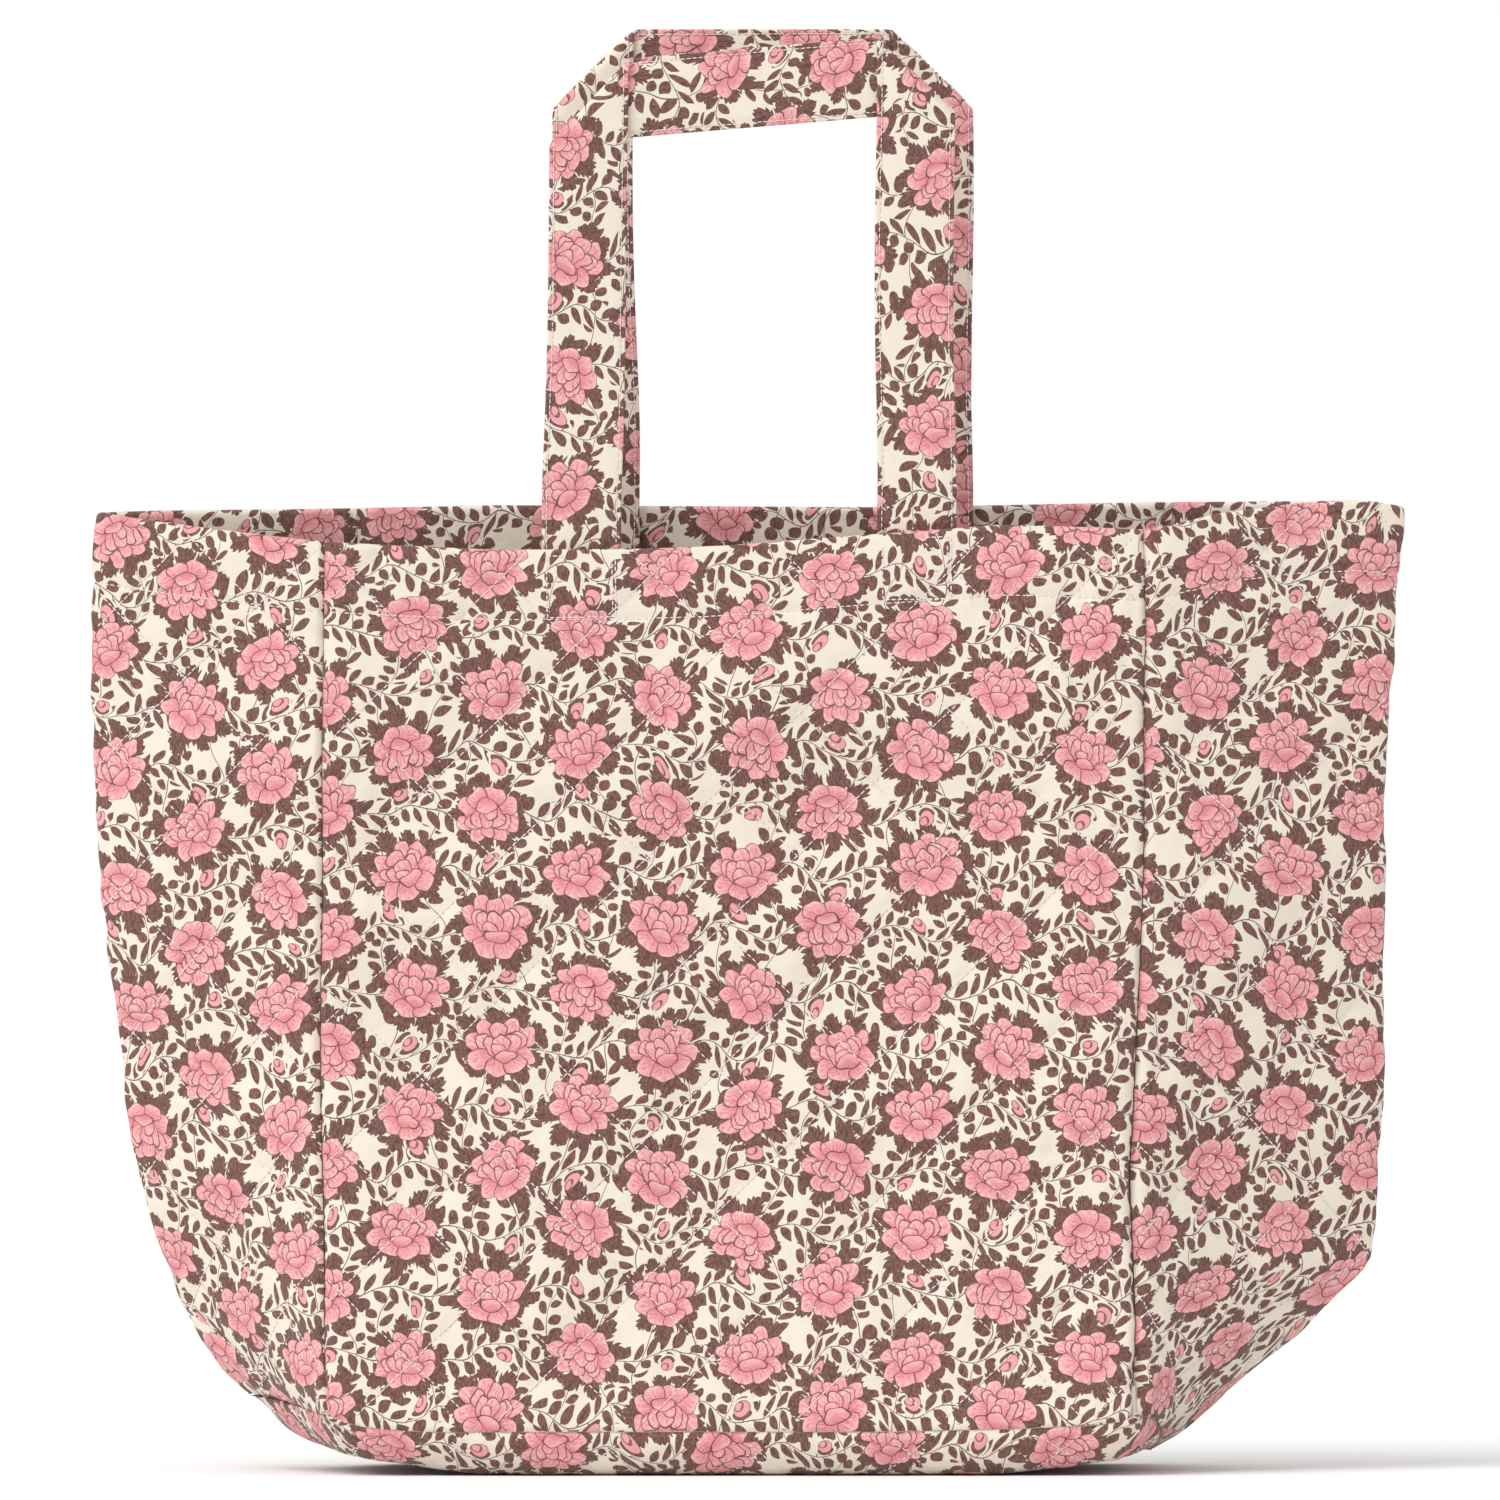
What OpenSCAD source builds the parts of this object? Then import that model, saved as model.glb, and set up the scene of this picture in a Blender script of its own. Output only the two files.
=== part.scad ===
// Quilted cotton tote for carrying knitting: a front and a back panel, a side
// gusset each side that folds outwards at its middle, a base panel, a turned
// hem round the mouth and two self-fabric straps sewn inside the hem.
// The bag stands on its base. +Z is up and the front faces -Y.

/* [Body] */
// Width of the front and back panels between their seams
panel_w = 412; // [380:2:440]
// Sideways shift of the front panel to the left and the back panel to the right
panel_shift = 8; // [0:1:12]
// Width over the two gusset folds at the mouth
mouth_w = 655; // [620:5:690]
// Half the depth of the bag at the base seam
base_half_depth = 117; // [100:1:125]
// Half the depth of the bag that the panels close to at the mouth
mouth_half_depth = 34; // [32:1:40]
// Height over which the depth falls away from the base
depth_fall = 150; // [130:5:170]
// Height of the seam between the walls and the base
seam_z = 23; // [20:1:28]

/* [Gussets] */
// Half the width over the gusset folds at the base seam
fold_base = 221; // [216:1:228]
// Height over which the gussets spread out from the base
fold_rise = 72; // [60:2:90]

/* [Mouth] */
// Height of the front lip
front_lip = 466; // [450:1:470]
// Height of the lip at the gusset folds
fold_lip = 482; // [472:1:484]
// Height of the back lip
back_lip = 484; // [480:1:490]
// Depth of the turned hem
hem_h = 35; // [30:1:40]

/* [Layers] */
// Thickness of the printed cotton, lining and facing
cloth_t = 0.8; // [0.6:0.1:1.0]
// Thickness of the wadding between them
wadding_t = 3.2; // [2.6:0.1:3.6]
// Half the gap between the front and back halves at the gusset folds
fold_gap = 0.3; // [0.2:0.05:0.5]

/* [Base] */
// Length of the flat of the base that stands on the floor
base_l = 372; // [350:2:390]
// Depth of the flat of the base that stands on the floor
base_d = 206; // [190:2:220]

/* [Straps] */
// Width of a strap
strap_w = 40; // [36:1:44]
// Distance between the middles of a strap's two legs
strap_span = 168; // [156:2:176]
// Height of the top of the front strap
front_strap_top = 711; // [690:1:715]
// Height of the top of the back strap
back_strap_top = 723.5; // [710:0.5:730]
// Sideways shift of the back strap
back_strap_shift = 9; // [0:1:12]
// Length of each strap end that is sewn down inside the hem
strap_end = 35; // [30:1:40]

/* [Hidden] */

cream = [0.93, 0.89, 0.81];
pink = [0.89, 0.58, 0.58];
white = [0.97, 0.95, 0.93];
lining_colour = [0.93, 0.88, 0.80];
thread_colour = [0.96, 0.84, 0.83];

w_out = 0;                          // outer face of the outer cloth
w_wad = cloth_t;                    // outer face of the wadding
w_lin = cloth_t + wadding_t;        // outer face of the lining
w_in = 2 * cloth_t + wadding_t;     // inner face of the lining
wall_gap = 0.4;                     // play between the walls and the base rim
strap_t = 2 * cloth_t + 2;          // thickness of a strap
slack = 0.2;                        // play under a trim that lies on a wall

// ---- the shape of the walls -------------------------------------------------
// half the depth at height z
function depth(z) = mouth_half_depth
    + (base_half_depth - mouth_half_depth) * exp(-(z - seam_z) / depth_fall);
// half the width over the gusset folds at height z
function fold_x(z) = mouth_w / 2
    - (mouth_w / 2 - fold_base) * exp(-(z - seam_z) / fold_rise);
// the six corners of the bag at height z, seen from above, anticlockwise:
// front left, front right, right fold, back right, back left, left fold
function ring(z) = [
    [-panel_w / 2 - panel_shift, -depth(z)], [panel_w / 2 - panel_shift, -depth(z)],
    [fold_x(z), 0],
    [panel_w / 2 + panel_shift, depth(z)], [-panel_w / 2 + panel_shift, depth(z)],
    [-fold_x(z), 0]];
function unit(v) = v / norm(v);
function left_normal(v) = [-v[1], v[0]];
// a corner moved inwards by w, on the mitre of its two walls
function corner(z, k, w) = let (r = ring(z), p = r[k],
    a = left_normal(unit(p - r[(k + 5) % 6])), b = left_normal(unit(r[(k + 1) % 6] - p)))
    p + (a + b) * w / (1 + a * b);
// where the wall from corner k to corner m, moved inwards by w, meets the plane y = g
function wall_cut(z, k, m, w, g) = let (r = ring(z), u = unit(r[m] - r[k]),
    n = left_normal(u) * (m == (k + 1) % 6 ? 1 : -1),
    q = r[k] + n * w) q + u * (g - q[1]) / u[1];
// heights of the lip above each corner
lip = [front_lip, front_lip + 4, fold_lip, back_lip, back_lip, fold_lip];
// shares of the height from the seam to the hem at which the walls bend
steps = [0, 0.04, 0.09, 0.16, 0.25, 0.36, 0.5, 0.66, 0.83, 1];

// a point of the wall: end is a corner 0 to 5, or "name" of a cut at a fold
// ends: [k] for a corner, [k, m, g] for the cut at y = g of the wall k to m
function lip_of(e) = len(e) == 1 ? lip[e[0]] : lip[e[1]];
function at(e, z, w) = let (xy = len(e) == 1 ? corner(z, e[0], w)
    : wall_cut(z, e[0], e[1], w, e[2])) [xy[0], xy[1], z];

// p moved towards q by g
function toward(p, q, g) = p + (q - p) * g / norm(q - p);

// a closed strip of wall between the ends e and f, from depth w0 to w1, over
// its whole height or between the two drops below the lip in from_lip; its ends
// stop short of e and f by trim
module strip(e, f, w0, w1, from_lip = [], trim = 0) {
    zs = from_lip == [] ? concat([for (s = steps) [
            seam_z + wall_gap + s * (lip_of(e) - hem_h - seam_z - wall_gap),
            seam_z + wall_gap + s * (lip_of(f) - hem_h - seam_z - wall_gap)]],
            [[lip_of(e) - cloth_t, lip_of(f) - cloth_t]])
        : [for (i = [0:3]) let (q = from_lip[0] + (from_lip[1] - from_lip[0]) * i / 3)
            [lip_of(e) - q, lip_of(f) - q]];
    n = len(zs);
    pts = [for (z = zs) let (a = at(e, z[0], w0), b = at(f, z[1], w0),
            c = at(f, z[1], w1), d = at(e, z[0], w1)) each
        [toward(a, b, trim), toward(b, a, trim), toward(c, d, trim), toward(d, c, trim)]];
    sides = [for (i = [0:n - 2]) let (a = 4 * i, b = a + 4) each [
        [a, a + 1, b + 1], [a, b + 1, b],
        [a + 1, a + 2, b + 2], [a + 1, b + 2, b + 1],
        [a + 3, b + 2, a + 2], [a + 3, b + 3, b + 2],
        [a, b + 3, a + 3], [a, b, b + 3]]];
    t = 4 * (n - 1);
    caps = [[0, 3, 2], [0, 2, 1], [t, t + 1, t + 2], [t, t + 2, t + 3]];
    polyhedron(points = pts, faces = [for (q = concat(sides, caps)) [q[2], q[1], q[0]]]);
}

// ends of the walls
FL = [0]; FR = [1]; BR = [3]; BL = [4];
RF = [1, 2, -fold_gap];  // front half of the right gusset at the fold
RB = [3, 2, fold_gap];   // back half of the right gusset at the fold
LF = [0, 5, -fold_gap];  // front half of the left gusset at the fold
LB = [4, 5, fold_gap];   // back half of the left gusset at the fold

// the turned hem of one wall: a facing inside and a cap over the edge
module facing(e, f) {
    near = w_in + 0.4; far = near + cloth_t; under = cloth_t - 0.15;
    // the section, as depth and drop below the lip
    sec = [[0, 0], [0, under], [w_wad, under], [w_lin, under], [near, under],
        [near, hem_h], [far, hem_h], [far, 0]];
    pts = [for (g = [e, f]) for (q = sec) at(g, lip_of(g) - q[1], q[0])];
    ends = [[0, 1, 2], [0, 2, 3], [0, 3, 4], [0, 4, 7], [4, 5, 6], [4, 6, 7]];
    faces = concat([for (t = ends) [t[2], t[1], t[0]]], [for (t = ends) [t[0] + 8, t[1] + 8, t[2] + 8]],
        [for (i = [0:7]) let (j = (i + 1) % 8) each i != 4 && i != 7
            ? [[i, j, j + 8], [i, j + 8, i + 8]] : [[i, j, i + 8], [j, j + 8, i + 8]]]);
    polyhedron(points = pts, faces = [for (q = faces) [q[2], q[1], q[0]]]);
}

// ---- the base ----------------------------------------------------------------
// a tray: the flat that stands on the floor and a rim that turns up to the seam
function tray_ring(l, d, z) = [[-l, -d, z], [l, -d, z], [l, d, z], [-l, d, z]];
module tray(w0, w1) {
    l0 = base_l / 2; d0 = base_d / 2;
    l1 = fold_base - 9; d1 = base_half_depth;
    top = seam_z;
    pts = concat(tray_ring(l0 - w0 * 0.55, d0 - w0 * 0.6, w0), tray_ring(l1 - w0, d1 - w0, top),
        tray_ring(l1 - w1, d1 - w1, top), tray_ring(l0 - w1 * 0.55, d0 - w1 * 0.6, w1));
    faces = concat([[0, 1, 2, 3], [15, 14, 13, 12]],
        [for (r = [0:2]) for (i = [0:3]) let (a = 4 * r + i, b = 4 * r + (i + 1) % 4) each
            [[a, b + 4, b], [a, a + 4, b + 4]]]);
    polyhedron(points = pts, faces = faces);
}

// ---- the straps --------------------------------------------------------------
// one depth band, a to b from the face, of a strap whose legs stand at z0 and
// whose bar's top is at z1; the band folds back behind the legs at each corner
module strap_band(a, b, z0, z1) {
    x0 = strap_span / 2 - strap_w / 2; x1 = strap_span / 2 + strap_w / 2;
    cut = a * sqrt(2); rim = b * sqrt(2);
    full = 2 * strap_t + 0.2;
    union() {
        for (s = [-1, 1]) {
            // leg
            lay(a, b) polygon([[s * x0, z0], [s * x1, z0], [s * x1, z1 - strap_w - cut],
                [s * x0, z1 - cut]]);
            // turn round the diagonal fold
            lay(a, full - a) polygon([[s * x1, z1 - strap_w - rim], [s * x1, z1 - strap_w - cut],
                [s * x0, z1 - cut], [s * x0, z1 - rim]]);
        }
        // bar behind the legs
        lay(full - b, full - a) polygon([
            [-x0 - strap_w + cut, z1 - strap_w], [x0 + strap_w - cut, z1 - strap_w],
            [x0 + cut * 0, z1 - cut], [x0 - cut, z1], [-x0 + cut, z1], [-x0, z1 - cut]]);
    }
}
// a flat piece drawn in x and z, from y = a to y = b
module lay(a, b) translate([0, b, 0]) rotate([90, 0, 0]) linear_extrude(b - a) children();

front_face = -(depth(front_lip) - w_in - cloth_t - 0.7);   // outer face of the front strap
back_face = depth(back_lip) - w_in - cloth_t - 0.8 - strap_t;  // outer face of the back strap
hinge_up = 1;        // height of a strap's bend line above its lip
leg_up = 3.2;        // height above its lip at which a strap's free part starts

module strap_layer(front, a, b) {
    if (front) translate([0, front_face, 0]) strap_band(a, b, front_lip + leg_up, front_strap_top);
    else translate([back_strap_shift, back_face, 0]) strap_band(a, b, back_lip + leg_up, back_strap_top);
}
module strap_ends(front) {
    lip_z = front ? front_lip : back_lip;
    y = front ? front_face : back_face;
    for (s = [-1, 1])
        translate([(front ? 0 : back_strap_shift) + s * strap_span / 2 - strap_w / 2, y, lip_z - strap_end])
            cube([strap_w, strap_t, strap_end + 0.6]);
}
// top stitching along both edges of each leg, on the face of the strap
module strap_thread(front) {
    lip_z = front ? front_lip : back_lip;
    z1 = front ? front_strap_top : back_strap_top;
    y = front ? front_face : back_face;
    for (s = [-1, 1]) for (e = [-1, 1])
        translate([(front ? 0 : back_strap_shift) + s * strap_span / 2 + e * (strap_w / 2 - 2.5) - 0.3,
            y - 0.45, lip_z + leg_up + 2])
            cube([0.6, 0.4, z1 - strap_w - lip_z - leg_up - 6]);
}

// ---- the stitching on the walls ----------------------------------------------
// a row of hem stitching round the three walls of a half, just under the hem
module hem_thread(walls) {
    for (p = walls) strip(p[0], p[1], -0.6, -slack, [hem_h - 0.5, hem_h - 1.3], 1);
}
// a bar of thread on a panel's outer face, side -1 the front and 1 the back
module panel_bar(side, x0, x1, z0, z1) {
    pts = [for (z = [z0, z1]) let (y = depth(z) + slack) each
        [[x0, side * y, z], [x1, side * y, z], [x1, side * (y + 0.4), z], [x0, side * (y + 0.4), z]]];
    faces = [[0, 1, 2], [0, 2, 3], [4, 6, 5], [4, 7, 6],
        [0, 5, 1], [0, 4, 5], [1, 6, 2], [1, 5, 6], [2, 7, 3], [2, 6, 7], [3, 4, 0], [3, 7, 4]];
    polyhedron(points = pts, faces = side < 0 ? [for (f = faces) [f[2], f[1], f[0]]] : faces);
}
// the square of stitching that holds each strap end
module box_thread(side) {
    lip_z = side < 0 ? front_lip : back_lip;
    shift = side < 0 ? 0 : back_strap_shift;
    q = strap_w / 2 - 2.5; low = lip_z - strap_end + 6; high = lip_z - 2;
    for (s = [-1, 1]) {
        x = shift + s * strap_span / 2;
        union() {
            panel_bar(side, x - q, x - q + 0.8, low, high);
            panel_bar(side, x + q - 0.8, x + q, low, high);
            panel_bar(side, x - q, x + q, high - 0.8, high);
        }
    }
}

// ---- the nodes ---------------------------------------------------------------
module base_outer() color(cream) tray(0, cloth_t);
module base_wadding() color(white) tray(w_wad, w_lin);
module base_lining() color(lining_colour) tray(w_lin, w_in);

module front_panel_outer() color(pink) strip(FL, FR, w_out, w_wad);
module front_panel_wadding() color(white) strip(FL, FR, w_wad, w_lin);
module front_panel_lining() color(lining_colour) strip(FL, FR, w_lin, w_in);
module back_panel_outer() color(pink) strip(BR, BL, w_out, w_wad);
module back_panel_wadding() color(white) strip(BR, BL, w_wad, w_lin);
module back_panel_lining() color(lining_colour) strip(BR, BL, w_lin, w_in);

module right_gusset_front_outer() color(cream) strip(FR, RF, w_out, w_wad);
module right_gusset_front_wadding() color(white) strip(FR, RF, w_wad, w_lin);
module right_gusset_front_lining() color(lining_colour) strip(FR, RF, w_lin, w_in);
module right_gusset_back_outer() color(cream) strip(RB, BR, w_out, w_wad);
module right_gusset_back_wadding() color(white) strip(RB, BR, w_wad, w_lin);
module right_gusset_back_lining() color(lining_colour) strip(RB, BR, w_lin, w_in);
module left_gusset_front_outer() color(cream) strip(LF, FL, w_out, w_wad);
module left_gusset_front_wadding() color(white) strip(LF, FL, w_wad, w_lin);
module left_gusset_front_lining() color(lining_colour) strip(LF, FL, w_lin, w_in);
module left_gusset_back_outer() color(cream) strip(BL, LB, w_out, w_wad);
module left_gusset_back_wadding() color(white) strip(BL, LB, w_wad, w_lin);
module left_gusset_back_lining() color(lining_colour) strip(BL, LB, w_lin, w_in);

module front_hem_facing() color(pink) facing(FL, FR);
module right_gusset_front_facing() color(pink) facing(FR, RF);
module left_gusset_front_facing() color(pink) facing(LF, FL);
module back_hem_facing() color(pink) facing(BR, BL);
module right_gusset_back_facing() color(pink) facing(RB, BR);
module left_gusset_back_facing() color(pink) facing(BL, LB);

module front_strap_ends() color(pink) strap_ends(true);
module back_strap_ends() color(pink) strap_ends(false);
module front_hem_thread() color(thread_colour) hem_thread([[LF, FL], [FL, FR], [FR, RF]]);
module back_hem_thread() color(thread_colour) hem_thread([[RB, BR], [BR, BL], [BL, LB]]);
module front_box_thread() color(thread_colour) box_thread(-1);
module back_box_thread() color(thread_colour) box_thread(1);

module front_strap_outer() color(pink) strap_layer(true, 0, cloth_t);
module front_strap_wadding() color(white) strap_layer(true, cloth_t, strap_t - cloth_t);
module front_strap_lining() color(cream) strap_layer(true, strap_t - cloth_t, strap_t);
module front_strap_thread() color(thread_colour) strap_thread(true);
module back_strap_outer() color(pink) strap_layer(false, 0, cloth_t);
module back_strap_wadding() color(white) strap_layer(false, cloth_t, strap_t - cloth_t);
module back_strap_lining() color(cream) strap_layer(false, strap_t - cloth_t, strap_t);
module back_strap_thread() color(thread_colour) strap_thread(false);

base_outer();
base_wadding();
base_lining();
front_panel_outer();
front_panel_wadding();
front_panel_lining();
left_gusset_front_outer();
left_gusset_front_wadding();
left_gusset_front_lining();
right_gusset_front_outer();
right_gusset_front_wadding();
right_gusset_front_lining();
front_hem_facing();
left_gusset_front_facing();
right_gusset_front_facing();
front_strap_ends();
front_hem_thread();
front_box_thread();
back_panel_outer();
back_panel_wadding();
back_panel_lining();
left_gusset_back_outer();
left_gusset_back_wadding();
left_gusset_back_lining();
right_gusset_back_outer();
right_gusset_back_wadding();
right_gusset_back_lining();
back_hem_facing();
left_gusset_back_facing();
right_gusset_back_facing();
back_strap_ends();
back_hem_thread();
back_box_thread();
front_strap_outer();
front_strap_wadding();
front_strap_lining();
front_strap_thread();
back_strap_outer();
back_strap_wadding();
back_strap_lining();
back_strap_thread();
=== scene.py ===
import math

import bpy
import numpy as np
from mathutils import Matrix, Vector


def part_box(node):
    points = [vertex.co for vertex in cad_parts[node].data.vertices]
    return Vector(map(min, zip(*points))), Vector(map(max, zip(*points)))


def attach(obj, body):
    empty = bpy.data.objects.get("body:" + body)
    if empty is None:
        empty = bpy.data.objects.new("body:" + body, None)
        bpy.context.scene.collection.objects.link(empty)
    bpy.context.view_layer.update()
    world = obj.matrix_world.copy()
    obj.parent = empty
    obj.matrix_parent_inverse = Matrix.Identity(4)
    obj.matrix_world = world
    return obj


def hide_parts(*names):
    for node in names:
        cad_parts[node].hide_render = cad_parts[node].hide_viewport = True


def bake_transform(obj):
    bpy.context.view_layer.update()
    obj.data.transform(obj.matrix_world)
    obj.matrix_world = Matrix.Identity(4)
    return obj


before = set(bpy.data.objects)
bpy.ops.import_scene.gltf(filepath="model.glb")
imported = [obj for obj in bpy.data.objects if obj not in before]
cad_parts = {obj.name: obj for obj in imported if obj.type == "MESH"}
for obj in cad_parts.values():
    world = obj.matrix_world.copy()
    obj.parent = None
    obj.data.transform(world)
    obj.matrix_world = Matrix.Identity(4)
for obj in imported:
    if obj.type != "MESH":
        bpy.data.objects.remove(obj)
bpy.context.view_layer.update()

scene = bpy.context.scene

# ---------------------------------------------------------------- measures, mm
def box_mm(node):
    lo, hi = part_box(node)
    return np.array(lo) * 1000, np.array(hi) * 1000

F_LO, F_HI = box_mm("front_panel_outer")
B_LO, B_HI = box_mm("back_panel_outer")
LG_LO, LG_HI = box_mm("left_gusset_front_outer")
RG_LO, RG_HI = box_mm("right_gusset_front_outer")
BASE_LO, BASE_HI = box_mm("base_outer")
FS_LO, FS_HI = box_mm("front_strap_outer")
BS_LO, BS_HI = box_mm("back_strap_outer")
FE_LO, FE_HI = box_mm("front_strap_ends")
BE_LO, BE_HI = box_mm("back_strap_ends")
HEM = 35.0
SEAM_Z = float(BASE_HI[2])


def cad_depth(node, sign):
    """The half depth of the panel's outer face against height, from the CAD mesh."""
    co = np.array([v.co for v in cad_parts[node].data.vertices]) * 1000
    z = np.round(co[:, 2], 2)
    levels = sorted(set(z))
    pairs = [(h, np.max(sign * co[np.abs(z - h) < 0.6, 1])) for h in levels]
    return np.array([p[0] for p in pairs]), np.array([p[1] for p in pairs])


ZF_, DF_ = cad_depth("front_panel_outer", -1)
D_BASE = float(np.max(DF_))
D_TOP = float(DF_[-1])
Z_TOP = float(ZF_[-1])
FALL = 150.0
D_INF = (D_TOP - D_BASE * math.exp(-(Z_TOP - SEAM_Z) / FALL)) / (1 - math.exp(-(Z_TOP - SEAM_Z) / FALL))


def depth(z):
    return D_INF + (D_BASE - D_INF) * np.exp(-(z - SEAM_Z) / FALL) - 0.7


def curve(pairs):
    xs = np.array([p[0] for p in pairs], float)
    ys = np.array([p[1] for p in pairs], float)

    def f(x):
        x = np.asarray(x, float)
        h = 5.0
        return (np.interp(x - h, xs, ys) + 2 * np.interp(x, xs, ys) + np.interp(x + h, xs, ys)) / 4
    return f


X_FL = curve([(20, F_LO[0] + 2.5), (32, F_LO[0] + 2), (43, F_LO[0] + 1), (166, F_LO[0] - 0.7), (386, F_LO[0] - 0.5), (465, F_LO[0] + 1)])
X_FR = curve([(20, F_HI[0] + 1), (30, F_HI[0] - 1), (62, F_HI[0] - 2.5), (67, F_HI[0] - 3), (118, F_HI[0] - 5), (150, F_HI[0] - 6.5),
              (195, F_HI[0] - 4), (246, F_HI[0] - 1.5), (416, F_HI[0] + 1.5), (470, F_HI[0])])
X_BL = curve([(20, B_LO[0] + 1), (60, B_LO[0] + 1), (160, B_LO[0] - 1), (300, B_LO[0] + 1), (484, B_LO[0])])
X_BR = curve([(20, B_HI[0] - 1), (80, B_HI[0] - 1), (200, B_HI[0] + 1), (360, B_HI[0] - 1), (484, B_HI[0])])
WL, WR = float(LG_LO[0]), float(RG_HI[0])
# the fold lines lie a little outside the picture's outline, for the cloth's own thickness
X_LF = curve([(28, WL + 84), (36, WL + 75.5), (46, WL + 66), (56, WL + 58), (66, WL + 51.2), (76, WL + 45.2), (93, WL + 38), (107.5, WL + 33),
              (129.5, WL + 25), (150.5, WL + 19.5), (169.5, WL + 16), (200, WL + 13), (225.5, WL + 10), (257, WL + 5.5),
              (290.5, WL + 1.3), (328.5, WL - 1), (352.5, WL - 2.2), (405, WL - 3.2), (435.5, WL - 3.4), (465, WL - 2.0), (480.5, WL - 0.6)])
X_RF = curve([(4, WR - 130), (9, WR - 124), (16, WR - 114), (26, WR - 100.5), (38.5, WR - 87), (52, WR - 70.5), (66, WR - 53), (81.5, WR - 38), (96, WR - 22.5), (105.5, WR - 14),
              (126.5, WR - 12), (158.5, WR - 10.7), (182, WR - 7.5), (246, WR - 8), (304.5, WR - 7.2), (336.5, WR - 7.7),
              (376.5, WR - 5), (405, WR - 2.6), (425, WR - 2.8), (450, WR - 0.2), (472, WR + 2.2), (483, WR + 2.6)])
LIP_F = curve([(-327, 480.5), (-299.5, 476), (-256, 470.5), (-213, 465.5), (-174.5, 463.5), (-124.5, 461.5), (-54.5, 462), (-13, 463.5), (25.5, 466.5),
               (65, 469.5), (100.5, 472), (125.5, 474), (165.5, 473), (198, 471.5), (216, 475), (237, 480), (275, 485), (310.5, 486.5), (328, 483.5)])
LIP_B = curve([(-327, 480.5), (-300, 481.5), (-224.5, 482.5), (-124.5, 484.5), (65.5, 483.5), (125.5, 484.5), (200.5, 486), (310.5, 486.5), (328, 483.5)])

# the bottom seam between the walls and the base: height along the panels and at the folds
Z_L_FOLD, Z_R_FOLD, Z_CORNER, Z_MID = 37.0, 9.5, 29.5, 22.5
SEAM_F = curve([(-222, Z_CORNER + 1), (-211, Z_CORNER), (-200, 26.5), (-185, 24), (-160, Z_MID), (60, Z_MID), (130, 24), (175, 26), (190, 28), (200, Z_CORNER), (215, Z_CORNER)])
SEAM_B = curve([(-215, Z_CORNER), (-198, Z_CORNER), (-185, 25), (-160, Z_MID), (160, Z_MID), (195, 25), (214, Z_CORNER), (222, Z_CORNER)])


def smooth(a, b, x):
    t = np.clip((np.asarray(x, float) - a) / (b - a), 0, 1)
    return t * t * (3 - 2 * t)


def waves(x, y, size, seed, n=9):
    """Soft random waves of about unit height, the same on every run."""
    r = np.random.RandomState(seed)
    total = 0
    for _ in range(n):
        a = r.uniform(0, math.pi)
        k = 2 * math.pi / (size * r.uniform(0.7, 1.4))
        total = total + np.sin(k * (x * math.cos(a) + y * math.sin(a)) + r.uniform(0, 6.28))
    return total / math.sqrt(n / 2)


# ---------------------------------------------------------------- the quilting lattice
L1 = lambda x, z: (0.688 * x - 0.725 * z + 409.8) / 50.7     # lines that rise to the right
L2 = lambda x, z: (0.688 * x + 0.725 * z - 292.5) / 52.5     # lines that fall to the right


def quilting(x, z):
    """How far the cloth stands out, in mm, from the quilting at flat point x, z."""
    g1, g2 = L1(x, z), L2(x, z)
    d1, d2 = np.abs(g1 - np.round(g1)) * 50.7, np.abs(g2 - np.round(g2)) * 52.5
    dome = (np.abs(np.sin(np.pi * g1)) * np.abs(np.sin(np.pi * g2))) ** 0.55
    out = 1.75 * dome - 0.6 * np.exp(-(d1 / 2.6) ** 2) - 0.6 * np.exp(-(d2 / 2.6) ** 2)
    t1, t2 = 0.725 * x + 0.688 * z, 0.725 * x - 0.688 * z
    out = out + 0.17 * np.sin(t1 * 0.86 + 2 * np.sin(t1 * 0.11 + g1)) * np.exp(-(d1 / 6) ** 2)
    out = out + 0.17 * np.sin(t2 * 0.80 + 2 * np.sin(t2 * 0.13 + g2)) * np.exp(-(d2 / 6) ** 2)
    return out


# pressed fold lines of the front: upright or level, where, from, to, depth in mm
FOLDS = [(1, 126.5, 150, 440, 1.0), (1, 118.0, 50, 150, 0.8), (1, -121.0, 120, 400, 0.7), (1, 44.5, 170, 300, 0.7),
         (0, 160.0, -190, 190, 0.9), (0, 271.0, -190, 190, 0.6)]


def folded(x, z):
    """How the front stands in or out, in mm, at the folds it was pressed along and where it is crumpled."""
    total = 0.0
    for upright, at, lo, hi, deep in FOLDS:
        c, t = (x, z) if upright else (z, x)
        d = c - at - 1.3 * np.sin(t * 0.043 + at) - 0.6 * np.sin(t * 0.117 + 2 * at)
        on = smooth(lo, lo + 36, t) * (1 - smooth(hi - 36, hi, t)) * deep
        on = on * (0.75 + 0.25 * np.sin(t * 0.071 + 3 * at))
        total = total - on * np.exp(-(d / 1.9) ** 2) + 0.45 * on * np.exp(-((d - 5.0) / 3.2) ** 2)
    foot = np.exp(-((x - 168) / 62) ** 2 - ((z - 120) / 105) ** 2) + 0.6 * np.exp(-((x + 150) / 60) ** 2 - ((z - 40) / 60) ** 2)
    return total + foot * (0.50 * waves(x, z * 0.8, 17, 31) + 0.35 * waves(x * 0.5, z, 11, 32))


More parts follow.
